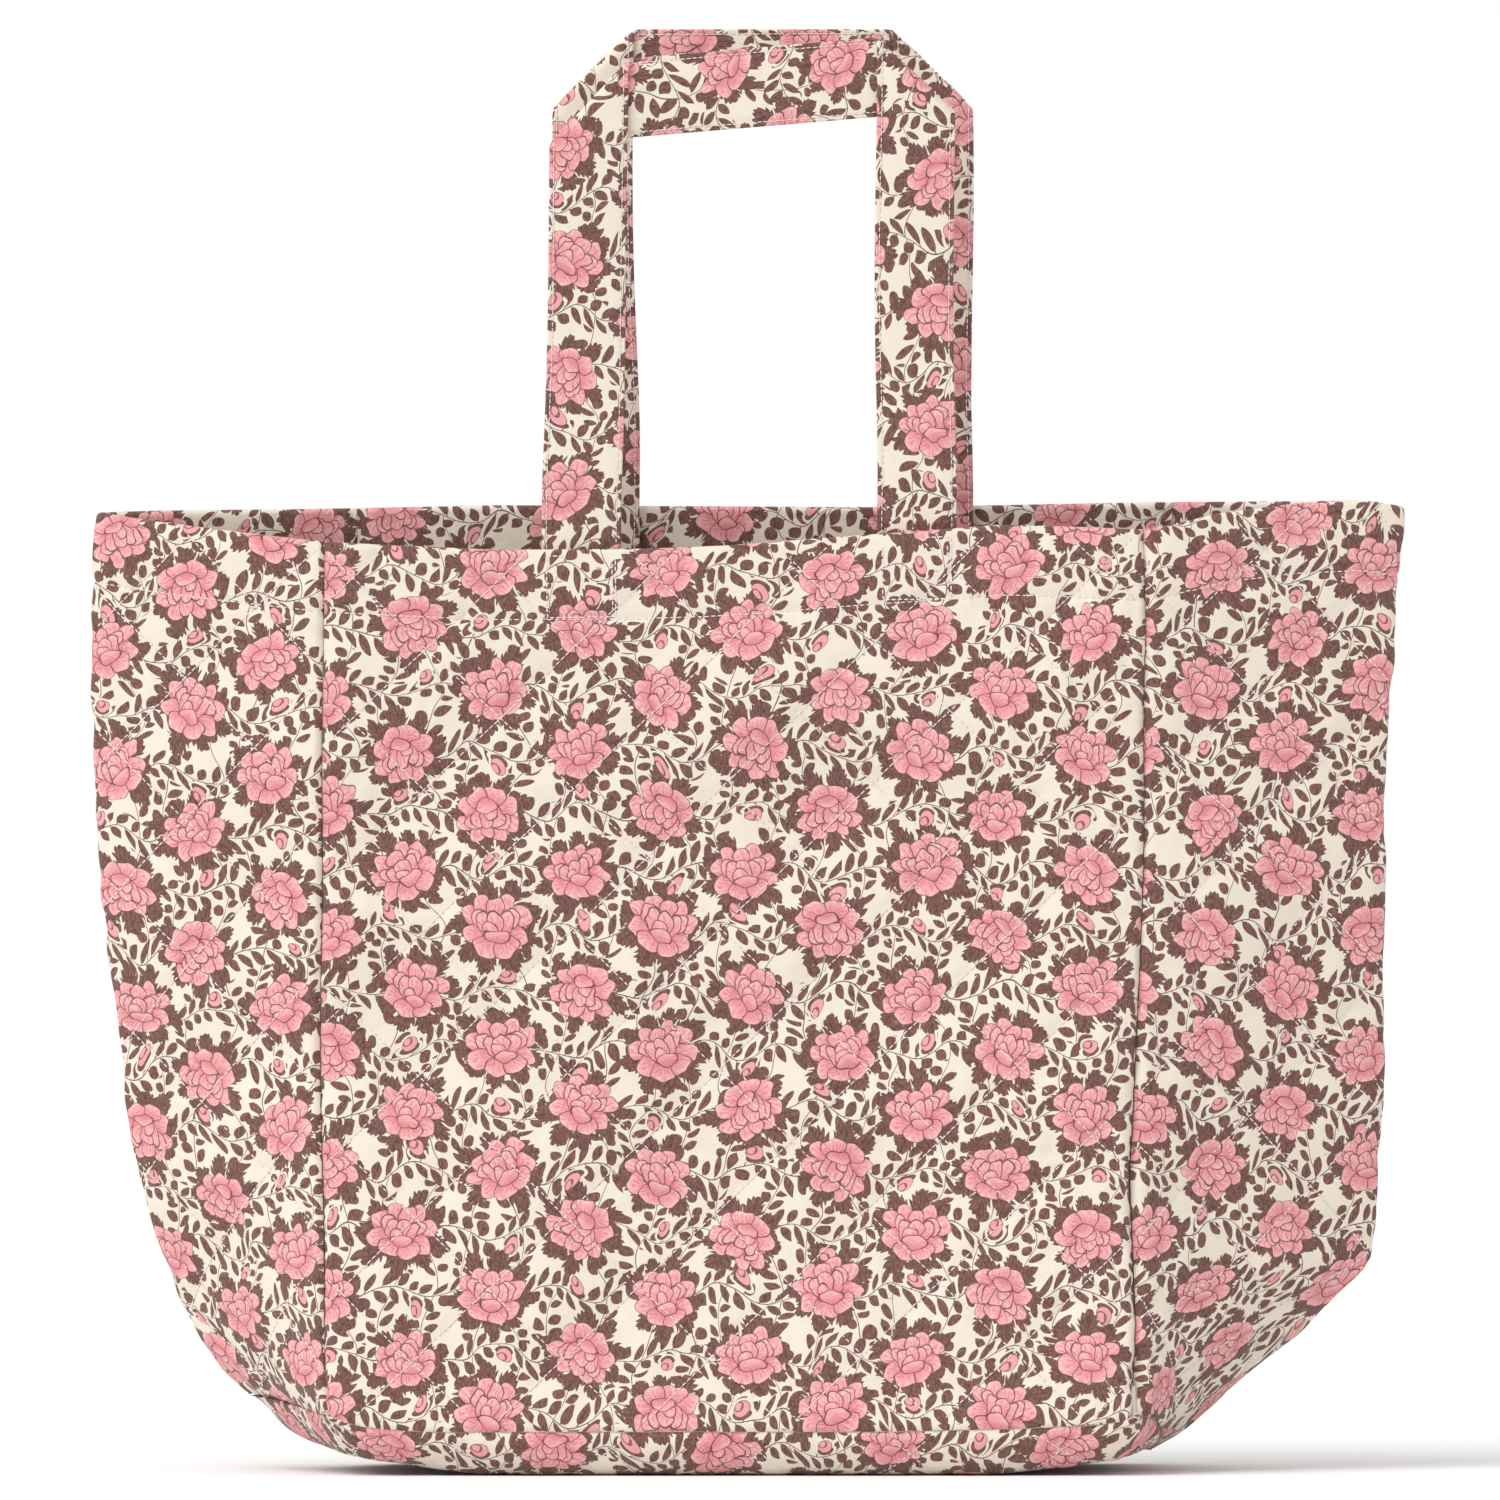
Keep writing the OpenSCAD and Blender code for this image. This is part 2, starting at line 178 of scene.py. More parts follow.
def drift(P):
    """The slow unevenness of the whole bag, moved in the same way on every piece."""
    x, y, z = P[..., 0], P[..., 1], P[..., 2]
    up = smooth(8, 90, z) * (1 - smooth(395, 455, z))
    side = np.clip(y / 32.0, -1, 1)
    Q = P.copy()
    Q[..., 1] += up * side * (2.3 * waves(x, z, 210, 5) + 1.2 * waves(x, z, 95, 6))
    Q[..., 0] += up * 0.7 * waves(y + 0.3 * x, z, 160, 8) * (1 - np.clip(np.abs(x) / 400, 0, 1))
    return Q


def normals(M, flip):
    du = np.gradient(M, axis=1)
    dv = np.gradient(M, axis=0)
    n = np.cross(du, dv) * flip
    return n / np.maximum(np.linalg.norm(n, axis=-1, keepdims=True), 1e-9)


class Wall:
    """One quilted wall: a printed face that turns over the lip as a hem, wadding, and a lining."""

    def __init__(self, name, sign, side, columns, nodes):
        self.name, self.sign, self.side, self.columns, self.nodes = name, sign, side, columns, nodes
        self.build()

    def seam_x(self, z, which):
        if self.sign < 0:
            return X_FL(z) if which < 0 else X_FR(z)
        return X_BL(z) if which < 0 else X_BR(z)

    def lip(self, x):
        return (LIP_F if self.sign < 0 else LIP_B)(x)

    def plan(self, u, z):
        """x and y of the outer face at share u across and height z."""
        d = depth(z)
        if self.side == 0:
            a, b = self.seam_x(z, -1), self.seam_x(z, 1)
            belly = 3.2 * np.sin(np.pi * u) ** 0.8 * smooth(20, 130, z) * (1 - 0.85 * smooth(300, 462, z))
            return a + (b - a) * u, self.sign * (d + belly)
        xs = self.seam_x(z, self.side)
        xf = (X_LF if self.side < 0 else X_RF)(z)
        q = u                                        # 0 at the fold, 1 at the seam
        q0 = 6.0 / d
        s = (np.sqrt(q * q + q0 * q0) - q0) / (np.sqrt(1 + q0 * q0) - q0)
        return xf + (xs - xf) * s, self.sign * (0.12 + (d - 0.12) * q)

    def build(self):
        n = self.columns
        low_rows = 150
        fr = np.linspace(0, 1, low_rows)
        hem_drops = np.array([HEM + 1.4, HEM + 0.5, HEM - 0.3, HEM - 2, HEM - 4.5, HEM - 7.5, HEM - 11, HEM - 14.5, HEM - 18, HEM - 21.5, HEM - 25, HEM - 28, 5.0, 3.4])
        R = 2.75                                     # radius of the turned lip
        turn = np.radians([15, 35, 55, 75])
        rows = low_rows + len(hem_drops) + len(turn)
        # columns evenly spaced along the cloth
        zz = np.linspace(30, 470, rows)
        U = np.zeros((rows, n))
        dense = np.linspace(0, 1, 400)
        arc = np.zeros((rows, n))
        for k in range(rows):
            x, y = self.plan(dense, np.full(400, zz[k]))
            s = np.concatenate([[0], np.cumsum(np.hypot(np.diff(x), np.diff(y)))])
            want = np.linspace(0, s[-1], n)
            # closer columns near both ends
            w = np.linspace(0, 1, n)
            w = w - 0.55 * np.sin(2 * np.pi * w) / (2 * np.pi)
            want = w * s[-1]
            U[k] = np.interp(want, s, dense)
            arc[k] = want
        # heights: a share of the way up to the hem, then fixed drops below the lip
        if self.side == 0:
            seam = (SEAM_F if self.sign < 0 else SEAM_B)
            zb = seam(self.plan(U[0], np.full(n, 24.0))[0])
            zl = self.lip(self.plan(U[-1], np.full(n, 470.0))[0])
        else:
            fold_z = Z_L_FOLD if self.side < 0 else Z_R_FOLD
            zb = fold_z + (Z_CORNER - fold_z) * smooth(0, 1, U[0])
            zl = self.lip(self.plan(U[-1], np.full(n, 470.0))[0])
        zb = zb + 0.15
        Z = np.zeros((rows, n))
        top_low = zl - HEM - 2.4
        for k in range(low_rows):
            Z[k] = zb + fr[k] * (top_low - zb)
        for j, h in enumerate(hem_drops):
            Z[low_rows + j] = zl - h
        for j in range(len(turn)):
            Z[low_rows + len(hem_drops) + j] = zl - R
        drop = zl[None, :] - Z
        x, y = self.plan(U, Z)
        M = np.stack([x, y, Z], -1)
        M = drift(M)
        flip = 1.0
        N = normals(M[: rows - len(turn)], flip)
        # inward means towards the middle of the bag
        if self.side == 0:
            want = np.array([0, -self.sign, 0])
        else:
            want = np.array([-self.side, -0.6 * self.sign, 0])
        if np.sum(N[50, n // 2] * want) < 0:
            N = -N
        last = N[-1]
        N = np.concatenate([N, np.repeat(last[None], len(turn), 0)], 0)
        # at a seam the cloth turns in along the line that halves the corner
        across = np.gradient(M, axis=1)
        across /= np.maximum(np.linalg.norm(across, axis=-1, keepdims=True), 1e-9)
        ends = []
        if self.side == 0:
            ends = [(0, 1.0, -1), (n - 1, -1.0, 1)]
        else:
            ends = [(n - 1, -1.0, self.side)]
        S = np.full((rows, n), 1e3)                  # distance from the nearest seam
        shift = np.zeros((rows, n, 3))
        for col, inward, which in ends:
            dist = np.abs(arc - arc[:, col:col + 1])
            S = np.minimum(S, dist)
            zc = Z[:, col]
            xs = self.seam_x(zc, which)
            xf = (X_LF if which < 0 else X_RF)(zc)
            phi = np.arctan2(depth(zc), np.abs(xf - xs))
            near = 1 - smooth(0, 20, dist)
            shift += near[..., None] * np.tan(phi / 2)[:, None, None] * across * inward
        self.S = S
        # flat coordinates of the cloth
        if self.side == 0:
            FX, FZ = M[..., 0].copy(), Z.copy()
            if self.sign > 0:
                FX = -FX + 31.0
                FZ = FZ + 17.0
        else:
            FX = arc * (1 if self.sign > 0 else -1) * (1 if self.side > 0 else -1) + self.side * 437.0
            step = np.linalg.norm(np.diff(M[:, n // 2], axis=0), axis=-1)
            line = np.concatenate([[0], np.cumsum(step)])
            FZ = Z - Z[:, n // 2:n // 2 + 1] + line[:, None] + 36.0
        self.FX, self.FZ = FX, FZ
        q = quilting(FX, FZ)
        if self.side != 0:
            q = q + (1.05 - q) * 0.8 * np.exp(-(arc / 11.0) ** 2)      # pressed flat along the outward fold
        near_seam = 1 - np.exp(-(S / 7.0) ** 2)
        near_floor = 1 - np.exp(-((Z - zb[None, :]) / 7.0) ** 2)
        fade = near_seam * near_floor
        crumple = 0.36 * waves(FX, FZ, 26, 11) + 0.16 * waves(FX * 1.0, FZ * 0.6, 12, 12)
        if self.sign < 0 and self.side == 0:
            crumple = crumple + folded(FX, FZ)
        low_seam = Z - zb[None, :]
        pucker = 0.42 * np.sin(Z * 0.62 + 3 * np.sin(Z * 0.05)) * np.exp(-S / 7.0)
        pucker = pucker + 0.42 * np.sin(FX * 0.58 + 3 * np.sin(FX * 0.043)) * np.exp(-low_seam / 8.0)
        hem_line = np.exp(-((drop - HEM) / 1.6) ** 2)
        hem_full = (1 - smooth(HEM - 6, HEM, drop)) * smooth(2, 10, drop)
        out = fade * (q + crumple * 0.8) + pucker * (1 - 0.6 * (drop < HEM)) - 0.75 * hem_line + 0.45 * hem_full
        out = out + 0.22 * np.sin(FX * 0.75 + 2 * np.sin(FX * 0.06)) * np.exp(-((drop - HEM) / 6.0) ** 2)
        at_fold = 1.0 if self.side == 0 else 0.3 + 0.7 * smooth(4, 34, arc)
        valley = 1.5 * np.exp(-(S / 2.6) ** 2) + 1.5 * np.exp(-(S / 1.3) ** 2) + 1.7 * at_fold * np.exp(-(low_seam / 2.2) ** 2)
        if self.sign < 0 and (self.side > 0 or self.side == 0):
            # the deep crease at the foot of the front right seam
            dist = np.abs(arc - arc[:, n - 1:n])
            valley = valley + 4.2 * np.exp(-(dist / 6.0) ** 2) * (1 - smooth(46, 78, Z)) + 1.2 * np.exp(-(dist / 4.0) ** 2) * (1 - smooth(150, 290, Z))
        w_out = 0.5 - out + valley
        w_out = np.maximum(w_out, -1.5)
        full = 4.9 - 1.9 * np.exp(-(S / 5.0) ** 2) - 0.9 * np.exp(-(low_seam / 5.0) ** 2)
        inner_q = fade * 0.55 * quilting(FX, FZ)
        w_in = full + inner_q * 0.6
        w_in = np.maximum(w_in, w_out + 1.1)
        facing = (drop < HEM).astype(float)
        w_in = w_in + 0.75 * facing
        # keep the strap's space behind the hem free
        w_in = np.minimum(w_in, np.where(drop < HEM + 6, 5.75, 9.0))
        self.drop, self.Z, self.n, self.rows, self.U, self.arc = drop, Z, n, rows, U, arc
        T = np.gradient(M[: rows - len(turn)], axis=0)[-1]
        T /= np.linalg.norm(T, axis=-1, keepdims=True)
        outer = np.zeros((rows, n, 3))
        inner = np.zeros((rows, n, 3))
        body = rows - len(turn)
        direction = N + shift
        self.M0 = M[0].copy()
        self.D0 = direction[0] * np.array([1.0, 1.0, 0.0])
        self.D0 /= np.maximum(np.linalg.norm(N[0] * np.array([1.0, 1.0, 0.0]), axis=-1, keepdims=True), 1e-9)
        outer[:body] = M[:body] + direction[:body] * w_out[:body, :, None]
        inner[:body] = M[:body] + direction[:body] * w_in[:body, :, None]
        wo, wi = w_out[body - 1], w_in[body - 1]
        mid, rad = (wo + wi) / 2, (wi - wo) / 2
        for j, a in enumerate(turn):
            k = body + j
            rise = R * math.sin(a)
            outer[k] = M[body - 1] + T * (0.65 + rise) + direction[body - 1] * (mid - rad * math.cos(a))[:, None]
            inner[k] = M[body - 1] + T * (0.65 + rise) + direction[body - 1] * (mid + rad * math.cos(a))[:, None]
        if self.side != 0:
            edge = self.sign * 0.1
            if self.sign < 0:
                outer[..., 1] = np.minimum(outer[..., 1], edge)
                inner[..., 1] = np.minimum(inner[..., 1], edge)
            else:
                outer[..., 1] = np.maximum(outer[..., 1], edge)
                inner[..., 1] = np.maximum(inner[..., 1], edge)
        self.outer, self.inner, self.N = outer, inner, N
        # flat coordinates over the lip and down the inside, as the turned cloth has them
        step = np.array([0.0] * body + [R * t for t in turn])
        FZo = FZ.copy()
        FZo[body:] = FZ[body - 1] + 0.65 + step[body:, None]
        top = FZ[body - 1] + 0.65 + R * math.pi / 2
        FZi = 2 * top[None, :] - FZ
        FZi[body:] = top + (R * math.pi / 2 - step[body:, None])
        self.FZo, self.FZi = FZo, FZi
        self.make()

    def make(self):
        n, rows = self.n, self.rows
        P = np.concatenate([self.outer, self.inner[::-1]], 0)        # a closed loop of rows
        FX = np.concatenate([self.FX, self.FX[::-1]], 0)
        FZ = np.concatenate([self.FZo, self.FZi[::-1]], 0)
        drop = np.concatenate([self.drop, self.drop[::-1]], 0)
        rr = 2 * rows
        idx = np.arange(rr * n).reshape(rr, n)
        j = np.arange(rr)
        a = idx[:, :-1]
        b = idx[:, 1:]
        c = np.roll(idx, -1, 0)[:, 1:]
        d = np.roll(idx, -1, 0)[:, :-1]
        quads = np.stack([a, b, c, d], -1).reshape(-1, 4)
        inner_side = (np.repeat(j, n - 1) >= rows)
        dd = (drop[:, :-1]).reshape(-1)
        mat = np.where(inner_side & (dd > HEM + 0.1), 1, 0)
        mat[np.repeat(j, n - 1) == rr - 1] = 1
        o = idx[:rows]
        i = idx[rows:][::-1]
        cap0 = np.stack([o[:-1, 0], o[1:, 0], i[1:, 0], i[:-1, 0]], -1)
        cap1 = np.stack([o[:-1, -1], i[:-1, -1], i[1:, -1], o[1:, -1]], -1)
        faces = np.concatenate([quads, cap0, cap1], 0)
        mats = np.concatenate([mat, np.zeros(len(cap0) + len(cap1), int)])
        uv = np.stack([FX, FZ], -1).reshape(-1, 2) * 0.001
        self.obj = mesh_object(self.name, P.reshape(-1, 3), faces, mats, uv)

    # a point on the printed face, or on the inner face, at flat x, z
    def locate(self, X, Zf):
        k = np.full(X.shape, self.rows * 0.5)
        i = np.full(X.shape, self.n * 0.5)
        body = self.rows - 4
        FXs, FZs = self.FX, self.FZ
        rising = FXs[0, -1] > FXs[0, 0]
        for _ in range(4):
            ki = np.clip(np.round(k).astype(int), 0, body - 1)
            for row in np.unique(ki):
                sel = ki == row
                line = FXs[row]
                i[sel] = np.interp(X[sel], line if rising else line[::-1], np.arange(self.n) if rising else np.arange(self.n)[::-1])
            ii = np.clip(np.round(i).astype(int), 0, self.n - 1)
            for col in np.unique(ii):
                sel = ii == col
                k[sel] = np.interp(Zf[sel], FZs[:body, col], np.arange(body))
        return k, i

    def sample(self, grid, k, i):
        k0 = np.clip(np.floor(k).astype(int), 0, self.rows - 2)
        i0 = np.clip(np.floor(i).astype(int), 0, self.n - 2)
        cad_, fi = (k - k0)[:, None], (i - i0)[:, None]
        g = grid
        return (g[k0, i0] * (1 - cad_) * (1 - fi) + g[k0 + 1, i0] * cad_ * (1 - fi)
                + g[k0, i0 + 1] * (1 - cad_) * fi + g[k0 + 1, i0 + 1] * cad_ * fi)


def mesh_object(name, verts, faces, mats=None, uv=None, fix=True, weld=0.0):
    me = bpy.data.meshes.new(name)
    verts = np.asarray(verts, float) * 0.001
    faces = np.asarray(faces)
    me.vertices.add(len(verts))
    me.vertices.foreach_set("co", verts.astype(np.float32).ravel())
    me.loops.add(faces.size)
    me.polygons.add(len(faces))
    me.loops.foreach_set("vertex_index", faces.astype(np.int32).ravel())
    me.polygons.foreach_set("loop_start", (np.arange(len(faces)) * faces.shape[1]).astype(np.int32))
    me.update(calc_edges=True)
    me.validate()
    if uv is not None:
        layer = me.uv_layers.new(name="flat")
        loops = np.zeros(len(me.loops), np.int32)
        me.loops.foreach_get("vertex_index", loops)
        layer.data.foreach_set("uv", np.asarray(uv, np.float32)[loops].ravel())
    if mats is not None and len(me.polygons) == len(faces):
        me.polygons.foreach_set("material_index", np.asarray(mats, np.int32))
    me.polygons.foreach_set("use_smooth", np.ones(len(me.polygons), bool))
    ob = bpy.data.objects.new(name, me)
    scene.collection.objects.link(ob)
    if fix:
        import bmesh
        bm = bmesh.new()
        bm.from_mesh(me)
        if weld:
            bmesh.ops.remove_doubles(bm, verts=bm.verts, dist=weld)
        bmesh.ops.recalc_face_normals(bm, faces=bm.faces)
        bm.to_mesh(me)
        bm.free()
    me.update()
    return ob


# ---------------------------------------------------------------- the walls
walls = {}
for key, name, sign, side, cols, nodes in [
    ("F", "front_panel", -1, 0, 168, ["front_panel_outer", "front_panel_wadding", "front_panel_lining", "front_hem_facing"]),
    ("B", "back_panel", 1, 0, 168, ["back_panel_outer", "back_panel_wadding", "back_panel_lining", "back_hem_facing"]),
    ("LF", "left_gusset_front", -1, -1, 56, ["left_gusset_front_outer", "left_gusset_front_wadding", "left_gusset_front_lining", "left_gusset_front_facing"]),
    ("RF", "right_gusset_front", -1, 1, 56, ["right_gusset_front_outer", "right_gusset_front_wadding", "right_gusset_front_lining", "right_gusset_front_facing"]),
    ("LB", "left_gusset_back", 1, -1, 56, ["left_gusset_back_outer", "left_gusset_back_wadding", "left_gusset_back_lining", "left_gusset_back_facing"]),
    ("RB", "right_gusset_back", 1, 1, 56, ["right_gusset_back_outer", "right_gusset_back_wadding", "right_gusset_back_lining", "right_gusset_back_facing"]),
]:
    walls[key] = Wall(name + "_quilt", sign, side, cols, nodes)


# ---------------------------------------------------------------- the base
def base_piece():
    na, nb = 170, 96

    def resample(M, D, by, values):
        order = np.argsort(M[:, by])
        m, d = M[order], D[order]
        return (np.stack([np.interp(values, m[:, by], m[:, c]) for c in range(3)], -1),
                np.stack([np.interp(values, m[:, by], d[:, c]) for c in range(3)], -1))

    W = walls
    e_out = 19.0
    phi = np.linspace(0, math.pi / 2, 14)
    e_edge = e_out * (1 - np.cos(phi))
    f_edge = 1 - np.sin(phi)
    y0 = W["F"].M0[:, 1].mean()
    y1 = W["B"].M0[:, 1].mean()
    inner_y = np.linspace(y0 + e_out, y1 - e_out, nb - 26)[1:-1]
    ys = np.concatenate([y0 + e_edge, inner_y, (y1 - e_edge)[::-1]])
    fs = np.concatenate([f_edge, np.zeros(len(inner_y)), f_edge[::-1]])
    nb = len(ys)
    ta = np.linspace(0, 1, na)
    F0, F0d = W["F"].M0, W["F"].D0
    B0, B0d = W["B"].M0, W["B"].D0
    Fa, Fd = resample(F0, F0d, 0, F0[0, 0] + ta * (F0[-1, 0] - F0[0, 0]))
    Ba, Bd = resample(B0, B0d, 0, B0[0, 0] + ta * (B0[-1, 0] - B0[0, 0]))
    left = np.concatenate([W["LF"].M0, W["LB"].M0], 0)
    leftd = np.concatenate([W["LF"].D0, W["LB"].D0], 0)
    right = np.concatenate([W["RF"].M0, W["RB"].M0], 0)
    rightd = np.concatenate([W["RF"].D0, W["RB"].D0], 0)
    yl = np.interp(ys, [ys[0], ys[-1]], [left[:, 1].min(), left[:, 1].max()])
    yr = np.interp(ys, [ys[0], ys[-1]], [right[:, 1].min(), right[:, 1].max()])
    La, Ld = resample(left, leftd, 1, yl)
    Ra, Rd = resample(right, rightd, 1, yr)
    tb = ((ys - ys[0]) / (ys[-1] - ys[0]))[:, None, None]
    tt = ta[None, :, None]
    corners = ((1 - tb) * (1 - tt) * Fa[0] + (1 - tb) * tt * Fa[-1] + tb * (1 - tt) * Ba[0] + tb * tt * Ba[-1])
    M = (1 - tb) * Fa[None] + tb * Ba[None] + (1 - tt) * La[:, None] + tt * Ra[:, None] - corners
    M[0], M[-1], M[:, 0], M[:, -1] = Fa, Ba, La, Ra
    x = M[..., 0]
    z_left = curve([(WL + 70, 38), (WL + 76, 33.5), (WL + 84, 27), (WL + 93, 21), (WL + 103, 16), (WL + 120, 10.5), (WL + 141, 6.8), (WL + 166, 3.4), (WL + 187, 0.8), (WL + 207, 0)])
    z_right = curve([(WR - 207, 0), (WR - 195, 0.8), (WR - 170, 3.4), (WR - 150, 6.0), (WR - 133, 8.5), (WR - 122, 9.5)])
    z_end = z_left(x) + z_right(x)
    edge_z = (1 - tb[..., 0]) * Fa[None, :, 2] + tb[..., 0] * Ba[None, :, 2]
    z = z_end + (edge_z - z_end) * fs[:, None]
    for col, target in ((0, La), (-1, Ra)):
        e = np.abs(x - target[:, None, 0])
        f = np.clip(1 - e / 22.0, 0, 1) ** 2
        z = z * (1 - f) + target[:, None, 2] * f
    z[0], z[-1], z[:, 0], z[:, -1] = Fa[:, 2], Ba[:, 2], La[:, 2], Ra[:, 2]
    M[..., 2] = z - 0.3
    N = normals(M, 1)
    if N[nb // 2, na // 2, 2] < 0:
        N = -N
    # flat coordinates
    FX = M[..., 0] + 11.0
    stepy = np.linalg.norm(np.diff(M[:, na // 2], axis=0), axis=-1)
    FZ = np.repeat((np.concatenate([[0], np.cumsum(stepy)]) - 131.0)[:, None], na, 1)
    dist = np.minimum(np.abs(FZ - FZ[0]), np.abs(FZ - FZ[-1]))
    dist = np.minimum(dist, np.minimum(np.abs(x - La[:, None, 0]), np.abs(x - Ra[:, None, 0])) * 1.1)
    fade = 1 - np.exp(-(dist / 7.0) ** 2)
    puck = 0.35 * np.sin(FX * 0.6 + 3 * np.sin(FX * 0.05)) * np.exp(-dist / 7.0)
    out = fade * (quilting(FX, FZ) + 0.25 * waves(FX, FZ, 26, 31)) + puck
    w_out = np.maximum(1.25 - out, 0) * (0.35 + 0.65 * smooth(0, 12, M[..., 2])) + (0.5 + 1.3 * smooth(4, 34, np.abs(M[..., 1]))) * np.exp(-(dist / 2.4) ** 2)
    w_in = 4.7 + 0.35 * fade * quilting(FX, FZ) + 3.6 * np.exp(-(dist / 6.0) ** 2)
    # near the rim the cloth turns in level, as the walls do above it
    D = N.copy()
    k = np.exp(-(dist / 6.0) ** 2)[..., None]
    DB = np.zeros_like(M)
    DB += (1 - tb) * Fd[None] + tb * Bd[None]
    e_l = np.abs(x - La[:, None, 0])
    e_r = np.abs(x - Ra[:, None, 0])
    e_s = dist * 0 + np.minimum(np.abs(FZ - FZ[0]), np.abs(FZ - FZ[-1]))
    DB = np.where((e_l < e_s)[..., None], Ld[:, None], DB)
    DB = np.where((e_r < e_s)[..., None], Rd[:, None], DB)
    DB[0], DB[-1], DB[:, 0], DB[:, -1] = Fd, Bd, Ld, Rd
    DB[..., 2] = 0
    D = D * (1 - k) + DB * k
    D[0], D[-1], D[:, 0], D[:, -1] = DB[0], DB[-1], DB[:, 0], DB[:, -1]
    outer = M + D * w_out[..., None]
    inner = M + D * w_in[..., None]
    outer[..., 2] = np.maximum(outer[..., 2], 0.0)
    # the boundary loop, once round
    loop = [(0, i) for i in range(na)] + [(j, na - 1) for j in range(1, nb)] + [(nb - 1, i) for i in range(na - 2, -1, -1)] + [(j, 0) for j in range(nb - 2, 0, -1)]
    lj = np.array([a for a, _ in loop])
    li = np.array([b for _, b in loop])
    edge, way = M[lj, li], DB[lj, li]
    way = way / np.maximum(np.linalg.norm(way, axis=-1, keepdims=True), 1e-9) * np.clip(np.linalg.norm(way, axis=-1, keepdims=True), 1, 1.6)
    # the seam allowance stands up inside the walls, so no gap shows when a side leans out
    rim = [(3.4, 0.2), (5.4, 0.6), (6.4, 2.0), (6.6, 6.0), (6.6, 11.0), (6.9, 14.0), (7.6, 15.2), (8.4, 14.0), (8.6, 10.0), (8.6, 5.0), (8.5, 2.0)]
    rows = []
    on_left, on_right = li == 0, li == na - 1
    for w, h in rim:
        row = edge + way * w + np.array([0, 0, h])
        z0, z1 = edge[:, 2], edge[:, 2] + max(h, 0.0)
        row[:, 1] *= depth(z1) / depth(z0)                       # it leans in with the walls
        share = 1 - np.clip(np.abs(edge[:, 1]) / depth(z0), 0, 1)
        row[:, 0] += on_left * share * (X_LF(z1) - X_LF(z0)) + on_right * share * (X_RF(z1) - X_RF(z0))
        rows.append(row)
    verts = [outer.reshape(-1, 3), inner.reshape(-1, 3)] + rows
    no = na * nb
    L = len(loop)
    idx_o = np.arange(no).reshape(nb, na)
    idx_i = idx_o + no
    faces = [np.stack([idx_o[:-1, :-1], idx_o[1:, :-1], idx_o[1:, 1:], idx_o[:-1, 1:]], -1).reshape(-1, 4),
             np.stack([idx_i[:-1, :-1], idx_i[:-1, 1:], idx_i[1:, 1:], idx_i[1:, :-1]], -1).reshape(-1, 4)]
    mats = [np.zeros(len(faces[0]), int), np.ones(len(faces[1]), int)]
    chain = [idx_o[lj, li]] + [2 * no + r * L + np.arange(L) for r in range(len(rim))] + [idx_i[lj, li]]
    for r in range(len(chain) - 1):
        p, q = chain[r], chain[r + 1]
        faces.append(np.stack([p, np.roll(p, -1), np.roll(q, -1), q], -1))
        mats.append(np.full(L, 0 if r < 2 else 1))
    fx = [FX.ravel(), FX.ravel()] + [FX[lj, li]] * len(rim)
    fz = [FZ.ravel(), FZ.ravel()] + [FZ[lj, li] + 2.0 * r for r in range(len(rim))]
    uv = np.stack([np.concatenate(fx), np.concatenate(fz)], -1) * 0.001
    ob = mesh_object("base_quilt", np.concatenate(verts, 0), np.concatenate(faces, 0), np.concatenate(mats), uv)
    return ob, dict(outer=outer, inner=inner, FX=FX, FZ=FZ, N=-N, na=na, nb=nb)


base_obj, base_grid = base_piece()


